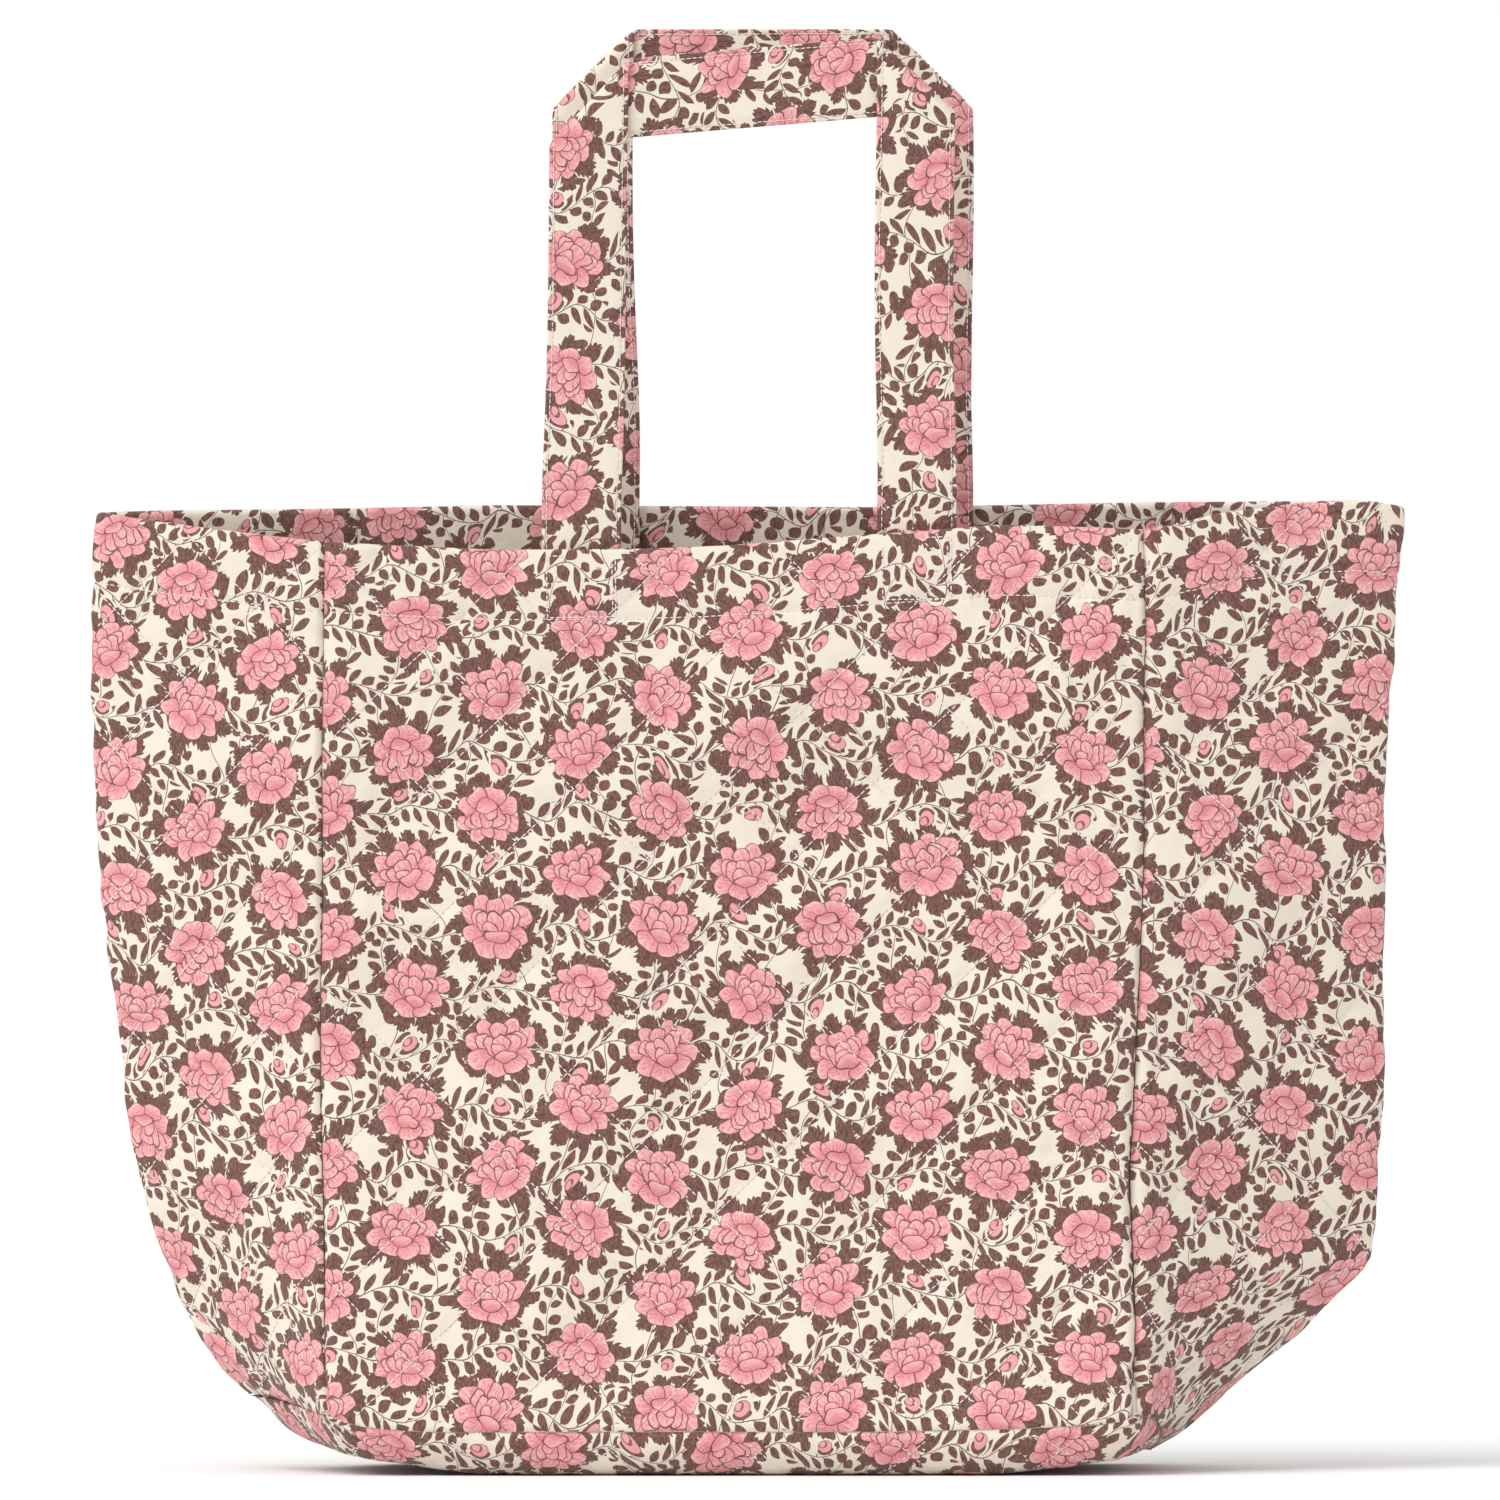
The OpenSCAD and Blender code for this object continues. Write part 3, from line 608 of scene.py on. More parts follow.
# ---------------------------------------------------------------- the straps
class Strap:
    """A flat self-fabric band: two legs and a bar, folded over at 45 degrees at both corners."""

    def __init__(self, name, lo, hi, ends_lo, ends_hi, lip_z, tilt, lean, nodes, seed):
        self.name, self.nodes, self.seed = name, nodes, seed
        self.lip_z = lip_z
        self.cx = float(ends_lo[0] + ends_hi[0]) / 2
        self.half = float(ends_hi[0] - ends_lo[0] - 40.0) / 2    # from the middle to a leg's middle
        self.y0 = float(ends_lo[1] + ends_hi[1]) / 2             # middle of the legs' thickness
        self.z0 = float(ends_lo[2]) + 0.5
        self.z1 = float(hi[2])
        self.rho = 1.85
        self.s1 = self.z1 - 20.0 - self.z0
        self.total = 2 * (self.s1 + self.half)
        self.tilt, self.lean = tilt, lean
        self.build()

    def place(self, s, t, w):
        """s along the band, t across it from -20 to 20, w out of its printed face, in mm."""
        s, t, w = np.broadcast_arrays(np.asarray(s, float), np.asarray(t, float), np.asarray(w, float))
        mirror = s > self.total / 2
        sm = np.where(mirror, self.total - s, s)
        ds = sm - self.s1
        delta = (t - ds) / math.sqrt(2)
        tau = (t + ds) / math.sqrt(2)
        rho = self.rho
        q = math.pi * rho / 2
        r2 = 1 / math.sqrt(2)
        theta = np.clip((q - delta) / rho, 0, math.pi)
        out = np.where(delta >= q, -delta, np.where(delta <= -q, delta, -q + (rho + w) * np.sin(theta)))
        yy = np.where(delta >= q, -w, np.where(delta <= -q, 2 * rho + w, rho - (rho + w) * np.cos(theta)))
        X = tau * r2 - out * r2
        Z = tau * r2 + out * r2
        x = -self.half + X
        z = self.z0 + self.s1 + Z
        x = np.where(mirror, -x, x) + self.cx
        y = self.y0 + yy
        # the hang of the real straps
        up = smooth(self.lip_z + 5, self.z1 - 20, z)
        rel = (x - self.cx) / max(self.half, 1)
        lean = self.lean[0] + (self.lean[1] - self.lean[0]) * np.clip((rel + 1) / 2, 0, 1)
        x = x + lean * up
        z = z + (self.tilt[0] + self.tilt[1] * rel) * up
        free = smooth(self.lip_z, self.lip_z + 60, z)
        y = y + free * (1.3 * np.sin(z / 46.0 + self.seed) + 0.9 * np.sin(x / 37.0 + self.seed * 2) - 0.0)
        x = x + free * 0.8 * np.sin(z / 38.0 + self.seed + rel)
        return np.stack([x, y, z], -1)

    def build(self):
        ns = int(self.total / 2.2)
        s = np.linspace(0, self.total, ns)
        # closer rows at the folds
        half_t = 19.9
        cols = np.array([-1, -0.985, -0.96, -0.93, -0.9, -0.86, -0.8, -0.7, -0.6, -0.5, -0.4, -0.3, -0.2, -0.1, 0,
                         0.1, 0.2, 0.3, 0.4, 0.5, 0.6, 0.7, 0.8, 0.86, 0.9, 0.93, 0.96, 0.985, 1]) * half_t
        nt = len(cols)
        S, T = np.meshgrid(s, cols, indexing="ij")
        edge = half_t - np.abs(T)
        shape = np.sqrt(np.clip(edge / 1.4, 0, 1) * (2 - np.clip(edge / 1.4, 0, 1)))
        stitch = np.exp(-((edge - 2.3) / 0.8) ** 2)
        soft = 0.10 * waves(S, T, 24, 41 + self.seed) + 0.10 * np.sin(S * 0.8 + 2 * np.sin(S * 0.07)) * np.exp(-((edge - 2.3) / 3.0) ** 2)
        tail = np.minimum(smooth(-1, 2.2, S), 1)
        tail = tail * smooth(-1, 2.2, self.total - S)
        th = (1.05 * shape + 0.40 * smooth(2.5, 9, edge) - 0.38 * stitch + soft * shape) * (0.45 + 0.55 * tail)
        Po = self.place(S, T, th)
        Pi = self.place(S, T, -th)
        idx = np.arange(ns * nt).reshape(ns, nt)
        ii = idx + ns * nt
        faces = [np.stack([idx[:-1, :-1], idx[:-1, 1:], idx[1:, 1:], idx[1:, :-1]], -1).reshape(-1, 4),
                 np.stack([ii[:-1, :-1], ii[1:, :-1], ii[1:, 1:], ii[:-1, 1:]], -1).reshape(-1, 4)]
        for c in (0, nt - 1):
            faces.append(np.stack([idx[:-1, c], idx[1:, c], ii[1:, c], ii[:-1, c]], -1))
        for r in (0, ns - 1):
            faces.append(np.stack([idx[r, :-1], idx[r, 1:], ii[r, 1:], ii[r, :-1]], -1))
        faces = np.concatenate(faces, 0)
        verts = np.concatenate([Po.reshape(-1, 3), Pi.reshape(-1, 3)], 0)
        off = 900.0 + 300 * self.seed
        uv = np.stack([np.concatenate([T.ravel(), 44.0 - T.ravel()]) + off, np.concatenate([S.ravel(), S.ravel()])], -1) * 0.001
        self.obj = mesh_object(self.name, verts, faces, np.zeros(len(faces), int), uv, weld=1e-6)


front_strap = Strap("front_strap_band", FS_LO, FS_HI, FE_LO, FE_HI, float(F_HI[2]) - 4, (2.1, 7.0), (4.8, -1.4),
                    ["front_strap_ends", "front_strap_outer", "front_strap_wadding", "front_strap_lining"], 1)
back_strap = Strap("back_strap_band", BS_LO, BS_HI, BE_LO, BE_HI, float(B_HI[2]), (0.6, 0.0), (-4.1, -0.6),
                   ["back_strap_ends", "back_strap_outer", "back_strap_wadding", "back_strap_lining"], 2)


# ---------------------------------------------------------------- stitches
def stitch_mesh(name, A, Bp, NA, NB, radius=0.24, sink=0.25, lift=0.16):
    """Stitches from points A to B on a surface with normals, each a little bar that dives in at both ends."""
    A, Bp, NA, NB = [np.asarray(v, float) for v in (A, Bp, NA, NB)]
    m = len(A)
    ts = np.array([0.0, 0.3, 0.7, 1.0])
    hs = np.array([-sink, lift, lift, -sink])
    rs = np.array([0.55, 1.0, 1.0, 0.55]) * radius
    D = Bp - A
    D = D / np.maximum(np.linalg.norm(D, axis=-1, keepdims=True), 1e-9)
    V = np.zeros((m, 4, 4, 3))
    for r, (t, h, rad) in enumerate(zip(ts, hs, rs)):
        C = A * (1 - t) + Bp * t
        N = NA * (1 - t) + NB * t
        N = N / np.maximum(np.linalg.norm(N, axis=-1, keepdims=True), 1e-9)
        S = np.cross(D, N)
        S = S / np.maximum(np.linalg.norm(S, axis=-1, keepdims=True), 1e-9)
        C = C + N * h
        for q in range(4):
            a = math.pi / 4 + q * math.pi / 2
            V[:, r, q] = C + (S * math.cos(a) + N * math.sin(a)) * rad * 1.25
    base = np.arange(m)[:, None] * 16
    quads = []
    for r in range(3):
        for q in range(4):
            quads.append([r * 4 + q, r * 4 + (q + 1) % 4, (r + 1) * 4 + (q + 1) % 4, (r + 1) * 4 + q])
    quads += [[3, 2, 1, 0], [12, 13, 14, 15]]
    quads = np.array(quads)
    faces = (base[:, None] + quads[None]).reshape(-1, 4)
    return mesh_object(name, V.reshape(-1, 3), faces, None, None)


def polyline_stitches(path, pitch=3.3, gap=0.5, start=0.0):
    """Start and end positions of stitches along a flat polyline."""
    path = np.asarray(path, float)
    seg = np.linalg.norm(np.diff(path, axis=0), axis=-1)
    s = np.concatenate([[0], np.cumsum(seg)])
    a = np.arange(start, s[-1] - pitch, pitch)
    b = a + pitch - gap
    f = lambda q: np.stack([np.interp(q, s, path[:, 0]), np.interp(q, s, path[:, 1])], -1)
    return f(a), f(b)


def wall_normals(w):
    n = normals(w.outer[: w.rows - 4], 1)
    c = w.N[: w.rows - 4]
    n = np.where((np.sum(n * c, -1) > 0)[..., None], -n, n)       # out of the bag
    n = np.concatenate([n, np.repeat(n[-1:], 4, 0)], 0)
    return n


def stitches_on_wall(w, A, B, name, inside=False, radius=0.24, lift=0.16):
    nrm = getattr(w, "_normals", None)
    if nrm is None:
        nrm = w._normals = wall_normals(w)
    grid = w.inner if inside else w.outer
    sgn = -1.0 if inside else 1.0
    ka, ia = w.locate(A[:, 0], A[:, 1])
    kb, ib = w.locate(B[:, 0], B[:, 1])
    keep = (np.abs(ka - kb) < 8) & (ka > 0.5) & (kb > 0.5) & (ia > 0.8) & (ib > 0.8) & (ia < w.n - 1.8) & (ib < w.n - 1.8) & (ka < w.rows - 5.1) & (kb < w.rows - 5.1)
    ka, ia, kb, ib = ka[keep], ia[keep], kb[keep], ib[keep]
    PA, PB = w.sample(grid, ka, ia), w.sample(grid, kb, ib)
    QA, QB = w.sample(nrm, ka, ia) * sgn, w.sample(nrm, kb, ib) * sgn
    ok = np.linalg.norm(PA - PB, axis=-1) < 7
    return PA[ok], PB[ok], QA[ok], QB[ok]


def quilt_lines(xr, zr, margin=2.5):
    """Stitch starts and ends of the whole lattice over a flat rectangle."""
    A, B = [], []
    x0, x1, z0, z1 = xr[0], xr[1], zr[0], zr[1]
    c = np.array([(x0 + x1) / 2, (z0 + z1) / 2])
    reach = math.hypot(x1 - x0, z1 - z0) / 2 + 60
    for n1, n2, off, pitch in ((0.688, -0.725, 409.8, 50.7), (0.688, 0.725, -292.5, 52.5)):
        nn = np.array([n1, n2]) / math.hypot(n1, n2)
        tt = np.array([-nn[1], nn[0]])
        for k in range(-40, 41):
            g = (k * pitch - off) / math.hypot(n1, n2)
            p0 = nn * g
            p0 = p0 + tt * np.dot(c - p0, tt)
            if np.linalg.norm(p0 - c) > reach:
                continue
            a = np.arange(-reach, reach, 3.3) + (k % 3) * 1.1
            wob = 0.25 * np.sin(a / 17.0 + k)
            PA = p0 + tt * a[:, None] + nn * wob[:, None]
            PB = p0 + tt * (a[:, None] + 2.8) + nn * wob[:, None]
            for P, Q in ((PA, PB),):
                ok = (P[:, 0] > x0 + margin) & (P[:, 0] < x1 - margin) & (P[:, 1] > z0 + margin) & (P[:, 1] < z1 - 1)
                ok &= (Q[:, 0] > x0 + margin) & (Q[:, 0] < x1 - margin) & (Q[:, 1] > z0 + margin) & (Q[:, 1] < z1 - 1)
                A.append(P[ok])
                B.append(Q[ok])
    return np.concatenate(A), np.concatenate(B)


stitch_objs = {}
for key, w in walls.items():
    xr = (float(w.FX.min()), float(w.FX.max()))
    zr = (float(w.FZ.min()) + 2.5, float(w.FZ[: w.rows - 4].max()) - 0.5)
    A, B_ = quilt_lines(xr, zr)
    parts = [stitches_on_wall(w, A, B_, key), stitches_on_wall(w, A, B_, key, inside=True)]
    # on the inside the hem covers the quilting
    _, _, _, _ = parts[1]
    top = float(np.mean(w.Z[:, w.n // 2] + w.drop[:, w.n // 2]))
    low = parts[1][0][:, 2] < top - HEM - 4
    parts[1] = tuple(v[low] for v in parts[1])
    q = [np.concatenate([p[i] for p in parts]) for i in range(4)]
    stitch_objs[key + "q"] = stitch_mesh(w.name.replace("_quilt", "_quilting_stitches"), *q, radius=0.33, lift=0.19)

    # the hem row, 35 mm below the lip, on both faces
    cols = np.arange(w.n)
    rows_d = w.drop[: w.rows - 4]
    zline = np.array([np.interp(HEM + 0.3, rows_d[::-1, c], w.FZ[: w.rows - 4][::-1, c]) for c in cols])
    xline = np.array([np.interp(HEM + 0.3, rows_d[::-1, c], w.FX[: w.rows - 4][::-1, c]) for c in cols])
    path = np.stack([xline, zline], -1)
    a, b = polyline_stitches(path, 3.4, 0.7, 0.6)
    p1 = stitches_on_wall(w, a, b, key, radius=0.3)
    q = [p1[i] for i in range(4)]
    lift_in = stitches_on_wall(w, a + np.array([0, 2.2]), b + np.array([0, 2.2]), key, inside=True)
    q = [np.concatenate([p1[i], lift_in[i]]) for i in range(4)]
    w.hem_parts = q

for key, name in (("F", "front"), ("B", "back")):
    pass
for key, w in walls.items():
    stitch_objs[key + "h"] = stitch_mesh(w.name.replace("_quilt", "_hem_stitches"), *w.hem_parts, radius=0.32, lift=0.22)

# the squares of stitching over the strap ends
for key, strap, flipx in (("F", front_strap, 1), ("B", back_strap, -1)):
    w = walls[key]
    parts = []
    for side in (-1, 1):
        cx = strap.cx + side * strap.half
        lip_z = float((LIP_F if key == "F" else LIP_B)(cx))
        x0, x1 = cx - 17.4, cx + 17.0
        zt, zb = lip_z - 3.4, lip_z - 34.5
        loops = [[(x0, zt - 0.5), (x1, zt + 0.4), (x1 + 0.3, zb + 0.5), (x0 + 0.4, zb), (x0, zt - 0.5)],
                 [(x1 - 1.6, zt - 4), (x1 - 1.2, zb + 1)]]
        for loop in loops:
            pts = np.array(loop, float)
            if key == "B":
                pts = np.stack([-pts[:, 0] + 31.0, pts[:, 1] + 17.0], -1)
            a, b = polyline_stitches(pts, 3.1, 0.6)
            parts.append(stitches_on_wall(w, a, b, key))
    q = [np.concatenate([p[i] for p in parts]) for i in range(4)]
    stitch_objs[key + "b"] = stitch_mesh(w.name.replace("_quilt", "_box_stitches"), *q, radius=0.38, lift=0.27)

# the base's quilting, under and inside
g = base_grid
A, B_ = quilt_lines((float(g["FX"].min()), float(g["FX"].max())), (float(g["FZ"].min()) + 1, float(g["FZ"].max()) - 2), margin=4)


def on_base(A, inside):
    FXg, FZg = g["FX"], g["FZ"]

    def at(P):
        k = np.interp(P[:, 1], FZg[:, g["na"] // 2], np.arange(g["nb"]))
        ki = np.clip(np.round(k).astype(int), 0, g["nb"] - 1)
        i = np.zeros(len(P))
        for row in np.unique(ki):
            sel = ki == row
            i[sel] = np.interp(P[sel, 0], FXg[row], np.arange(g["na"]))
        return k, i
    return at(A)


def bil(G, k, i):
    k0 = np.clip(np.floor(k).astype(int), 0, G.shape[0] - 2)
    i0 = np.clip(np.floor(i).astype(int), 0, G.shape[1] - 2)
    a, b = (k - k0)[:, None], (i - i0)[:, None]
    return G[k0, i0] * (1 - a) * (1 - b) + G[k0 + 1, i0] * a * (1 - b) + G[k0, i0 + 1] * (1 - a) * b + G[k0 + 1, i0 + 1] * a * b


ka, ia = on_base(A, False)
kb, ib = on_base(B_, False)
ok = (ka > 2) & (kb > 2) & (ka < g["nb"] - 3) & (kb < g["nb"] - 3) & (ia > 2.5) & (ib > 2.5) & (ia < g["na"] - 3.5) & (ib < g["na"] - 3.5)
ka, ia, kb, ib = ka[ok], ia[ok], kb[ok], ib[ok]
PA, PB, NA_, NB_ = bil(g["outer"], ka, ia), bil(g["outer"], kb, ib), bil(g["N"], ka, ia), bil(g["N"], kb, ib)
IA, IB = bil(g["inner"], ka, ia), bil(g["inner"], kb, ib)
low = (PA[:, 2] > 0.75) & (PB[:, 2] > 0.75)                        # none under the flat that stands on the floor
stitch_objs["baseq"] = stitch_mesh("base_quilting_stitches", np.concatenate([PA[low], IA]), np.concatenate([PB[low], IB]),
                                   np.concatenate([NA_[low], -NA_]), np.concatenate([NB_[low], -NB_]), radius=0.29, lift=0.15)

# top stitching along both edges of each strap, on both faces
for strap, key in ((front_strap, "fs"), (back_strap, "bs")):
    a = np.arange(2.0, strap.total - 5.0, 3.1)
    b = a + 2.5
    parts = []
    for t in (-17.5, 17.4):
        for f in (1, -1):
            ta = t + 0.15 * np.sin(a / 23.0 + t)
            th = 1.05 + 0.02
            PA, PB = strap.place(a, ta, f * 1.08), strap.place(b, ta, f * 1.08)
            QA, QB = strap.place(a, ta, f * 3.0) - PA, strap.place(b, ta, f * 3.0) - PB
            ok = np.linalg.norm(PA - PB, axis=-1) > 1.2
            parts.append([v[ok] for v in (PA, PB, QA, QB)])
    q = [np.concatenate([p[i] for p in parts]) for i in range(4)]
    stitch_objs[key] = stitch_mesh(strap.name.replace("_band", "_edge_stitches"), *q, radius=0.28, lift=0.05)


# ---------------------------------------------------------------- node trees written as sums
class Tree:
    def __init__(self, material):
        material.use_nodes = True
        self.t = material.node_tree
        self.t.nodes.clear()

    def node(self, kind, **values):
        n = self.t.nodes.new(kind)
        for k, v in values.items():
            setattr(n, k, v)
        return n

    def put(self, socket, value):
        if isinstance(value, E):
            value = value.s
        if isinstance(value, bpy.types.NodeSocket):
            self.t.links.new(value, socket)
        else:
            socket.default_value = value

    def math(self, op, a, b=None, c=None, clamp=False):
        n = self.t.nodes.new("ShaderNodeMath")
        n.operation = op
        n.use_clamp = clamp
        self.put(n.inputs[0], a)
        if b is not None:
            self.put(n.inputs[1], b)
        if c is not None:
            self.put(n.inputs[2], c)
        return E(self, n.outputs[0])

    def vmath(self, op, a, b=None, scale=None, out=0):
        n = self.t.nodes.new("ShaderNodeVectorMath")
        n.operation = op
        self.put(n.inputs[0], a)
        if b is not None:
            self.put(n.inputs[1], b)
        if scale is not None:
            self.put(n.inputs["Scale"], scale)
        return E(self, n.outputs[out])

    def sep(self, v):
        n = self.t.nodes.new("ShaderNodeSeparateXYZ")
        self.put(n.inputs[0], v)
        return E(self, n.outputs[0]), E(self, n.outputs[1]), E(self, n.outputs[2])

    def comb(self, x, y, z=0.0):
        n = self.t.nodes.new("ShaderNodeCombineXYZ")
        self.put(n.inputs[0], x)
        self.put(n.inputs[1], y)
        self.put(n.inputs[2], z)
        return E(self, n.outputs[0])

    def mixc(self, f, a, b):
        n = self.t.nodes.new("ShaderNodeMix")
        n.data_type = "RGBA"
        n.clamp_factor = True
        self.put(n.inputs[0], f)
        self.put(n.inputs[6], a)
        self.put(n.inputs[7], b)
        return E(self, n.outputs[2])

    def mixv(self, f, a, b):
        n = self.t.nodes.new("ShaderNodeMix")
        n.data_type = "VECTOR"
        self.put(n.inputs[0], f)
        self.put(n.inputs[4], a)
        self.put(n.inputs[5], b)
        return E(self, n.outputs[1])

    def mixf(self, f, a, b):
        n = self.t.nodes.new("ShaderNodeMix")
        n.data_type = "FLOAT"
        self.put(n.inputs[0], f)
        self.put(n.inputs[2], a)
        self.put(n.inputs[3], b)
        return E(self, n.outputs[0])

    def ramp(self, x, lo, hi, a=0.0, b=1.0):
        n = self.t.nodes.new("ShaderNodeMapRange")
        n.clamp = True
        self.put(n.inputs[0], x)
        self.put(n.inputs[1], lo)
        self.put(n.inputs[2], hi)
        self.put(n.inputs[3], a)
        self.put(n.inputs[4], b)
        return E(self, n.outputs[0])

    def noise(self, v, scale, detail=1.0, rough=0.5, color=False):
        n = self.t.nodes.new("ShaderNodeTexNoise")
        n.noise_dimensions = "2D"
        self.put(n.inputs["Vector"], v)
        n.inputs["Scale"].default_value = scale
        n.inputs["Detail"].default_value = detail
        n.inputs["Roughness"].default_value = rough
        return E(self, n.outputs["Color" if color else 0])

    def white(self, v, color=True):
        n = self.t.nodes.new("ShaderNodeTexWhiteNoise")
        n.noise_dimensions = "3D"
        self.put(n.inputs["Vector"], v)
        return E(self, n.outputs["Color" if color else "Value"])


class E:
    """A value in a node tree that sums can be written with."""

    def __init__(self, tree, socket):
        self.t, self.s = tree, socket

    def __add__(self, o): return self.t.math("ADD", self, o)
    def __radd__(self, o): return self.t.math("ADD", o, self)
    def __sub__(self, o): return self.t.math("SUBTRACT", self, o)
    def __rsub__(self, o): return self.t.math("SUBTRACT", o, self)
    def __mul__(self, o): return self.t.math("MULTIPLY", self, o)
    def __rmul__(self, o): return self.t.math("MULTIPLY", o, self)
    def __truediv__(self, o): return self.t.math("DIVIDE", self, o)
    def __pow__(self, o): return self.t.math("POWER", self, o)
    def abs(self): return self.t.math("ABSOLUTE", self)
    def fract(self): return self.t.math("FRACT", self)
    def floor(self): return self.t.math("FLOOR", self)
    def round(self): return self.t.math("ROUND", self)
    def sin(self): return self.t.math("SINE", self)
    def cos(self): return self.t.math("COSINE", self)
    def sqrt(self): return self.t.math("SQRT", self)
    def min(self, o): return self.t.math("MINIMUM", self, o)
    def max(self, o): return self.t.math("MAXIMUM", self, o)
    def less(self, o): return self.t.math("LESS_THAN", self, o)
    def more(self, o): return self.t.math("GREATER_THAN", self, o)


def lin(r, g, b, k=1.0):
    f = lambda c: ((c / 255) / 12.92 if c / 255 <= 0.04045 else ((c / 255 + 0.055) / 1.055) ** 2.4) * k
    return (f(r), f(g), f(b), 1.0)


K = 0.88                                  # how much of the light white cloth gives back
CREAM = lin(246, 235, 218, K)
PINK = lin(245, 168, 171, K)
PINK_LIGHT = lin(255, 200, 197, K)
PINK_DARK = lin(218, 118, 126, K)
BROWN = lin(138, 92, 83, K)
BROWN_DARK = lin(94, 58, 51, K)
LINE = lin(86, 46, 45, K)


def finish_cloth(T, colour, height, rough=0.9, distance=0.0006, sheen=0.12):
    p = T.node("ShaderNodeBsdfPrincipled")
    T.put(p.inputs["Base Color"], colour)
    p.inputs["Roughness"].default_value = rough
    p.inputs["Specular IOR Level"].default_value = 0.22
    p.inputs["Sheen Weight"].default_value = sheen
    p.inputs["Sheen Roughness"].default_value = 0.55
    b = T.node("ShaderNodeBump")
    b.inputs["Strength"].default_value = 0.8
    b.inputs["Distance"].default_value = distance
    T.put(b.inputs["Height"], height)
    T.t.links.new(b.outputs[0], p.inputs["Normal"])
    o = T.node("ShaderNodeOutputMaterial")
    T.t.links.new(p.outputs[0], o.inputs["Surface"])


def flat_point(T, dx=0.0, dy=0.0):
    uv = T.node("ShaderNodeUVMap")
    uv.uv_map = "flat"
    n = T.t.nodes.new("ShaderNodeVectorMath")
    n.operation = "MULTIPLY_ADD"
    T.t.links.new(uv.outputs[0], n.inputs[0])
    n.inputs[1].default_value = (1000.0, 1000.0, 0.0)
    n.inputs[2].default_value = (dx, dy, 0.0)
    return E(T, n.outputs[0])


def weave_height(T, P):
    x, y, _ = T.sep(P)
    a = (x * (2 * math.pi / 0.46)).sin()
    b = (y * (2 * math.pi / 0.50)).sin()
    return a * b


PETALS = [  # centre x, y, half length, half width, direction it points in, how wide its tip is
    (-12.4, 4.6, 7.0, 4.9, 162, 0.10), (12.8, 5.2, 6.8, 5.0, 20, 0.25), (-10.8, -4.6, 7.8, 5.8, 206, 0.0),
    (11.2, -4.8, 7.6, 5.8, -24, 0.0), (-6.6, 10.2, 6.0, 4.8, 120, 0.2), (6.2, 10.8, 6.2, 4.6, 64, 0.1),
    (-4.2, -10.2, 5.6, 6.9, 252, 0.25), (6.0, -9.8, 5.4, 6.4, -60, 0.3), (0.2, 8.8, 5.6, 4.7, 92, 0.3),
    (-7.6, 3.2, 6.2, 4.3, 128, 0.2), (7.8, 3.4, 6.0, 4.4, 50, 0.2), (-4.9, 0.4, 7.2, 4.1, 108, 0.15),
    (5.0, 0.6, 7.4, 4.0, 70, 0.15), (0.3, 1.6, 6.4, 4.3, 90, 0.25), (-1.9, -2.4, 5.0, 3.6, 104, 0.2),
    (0.9, -5.6, 3.7, 6.6, 86, 0.1),
]


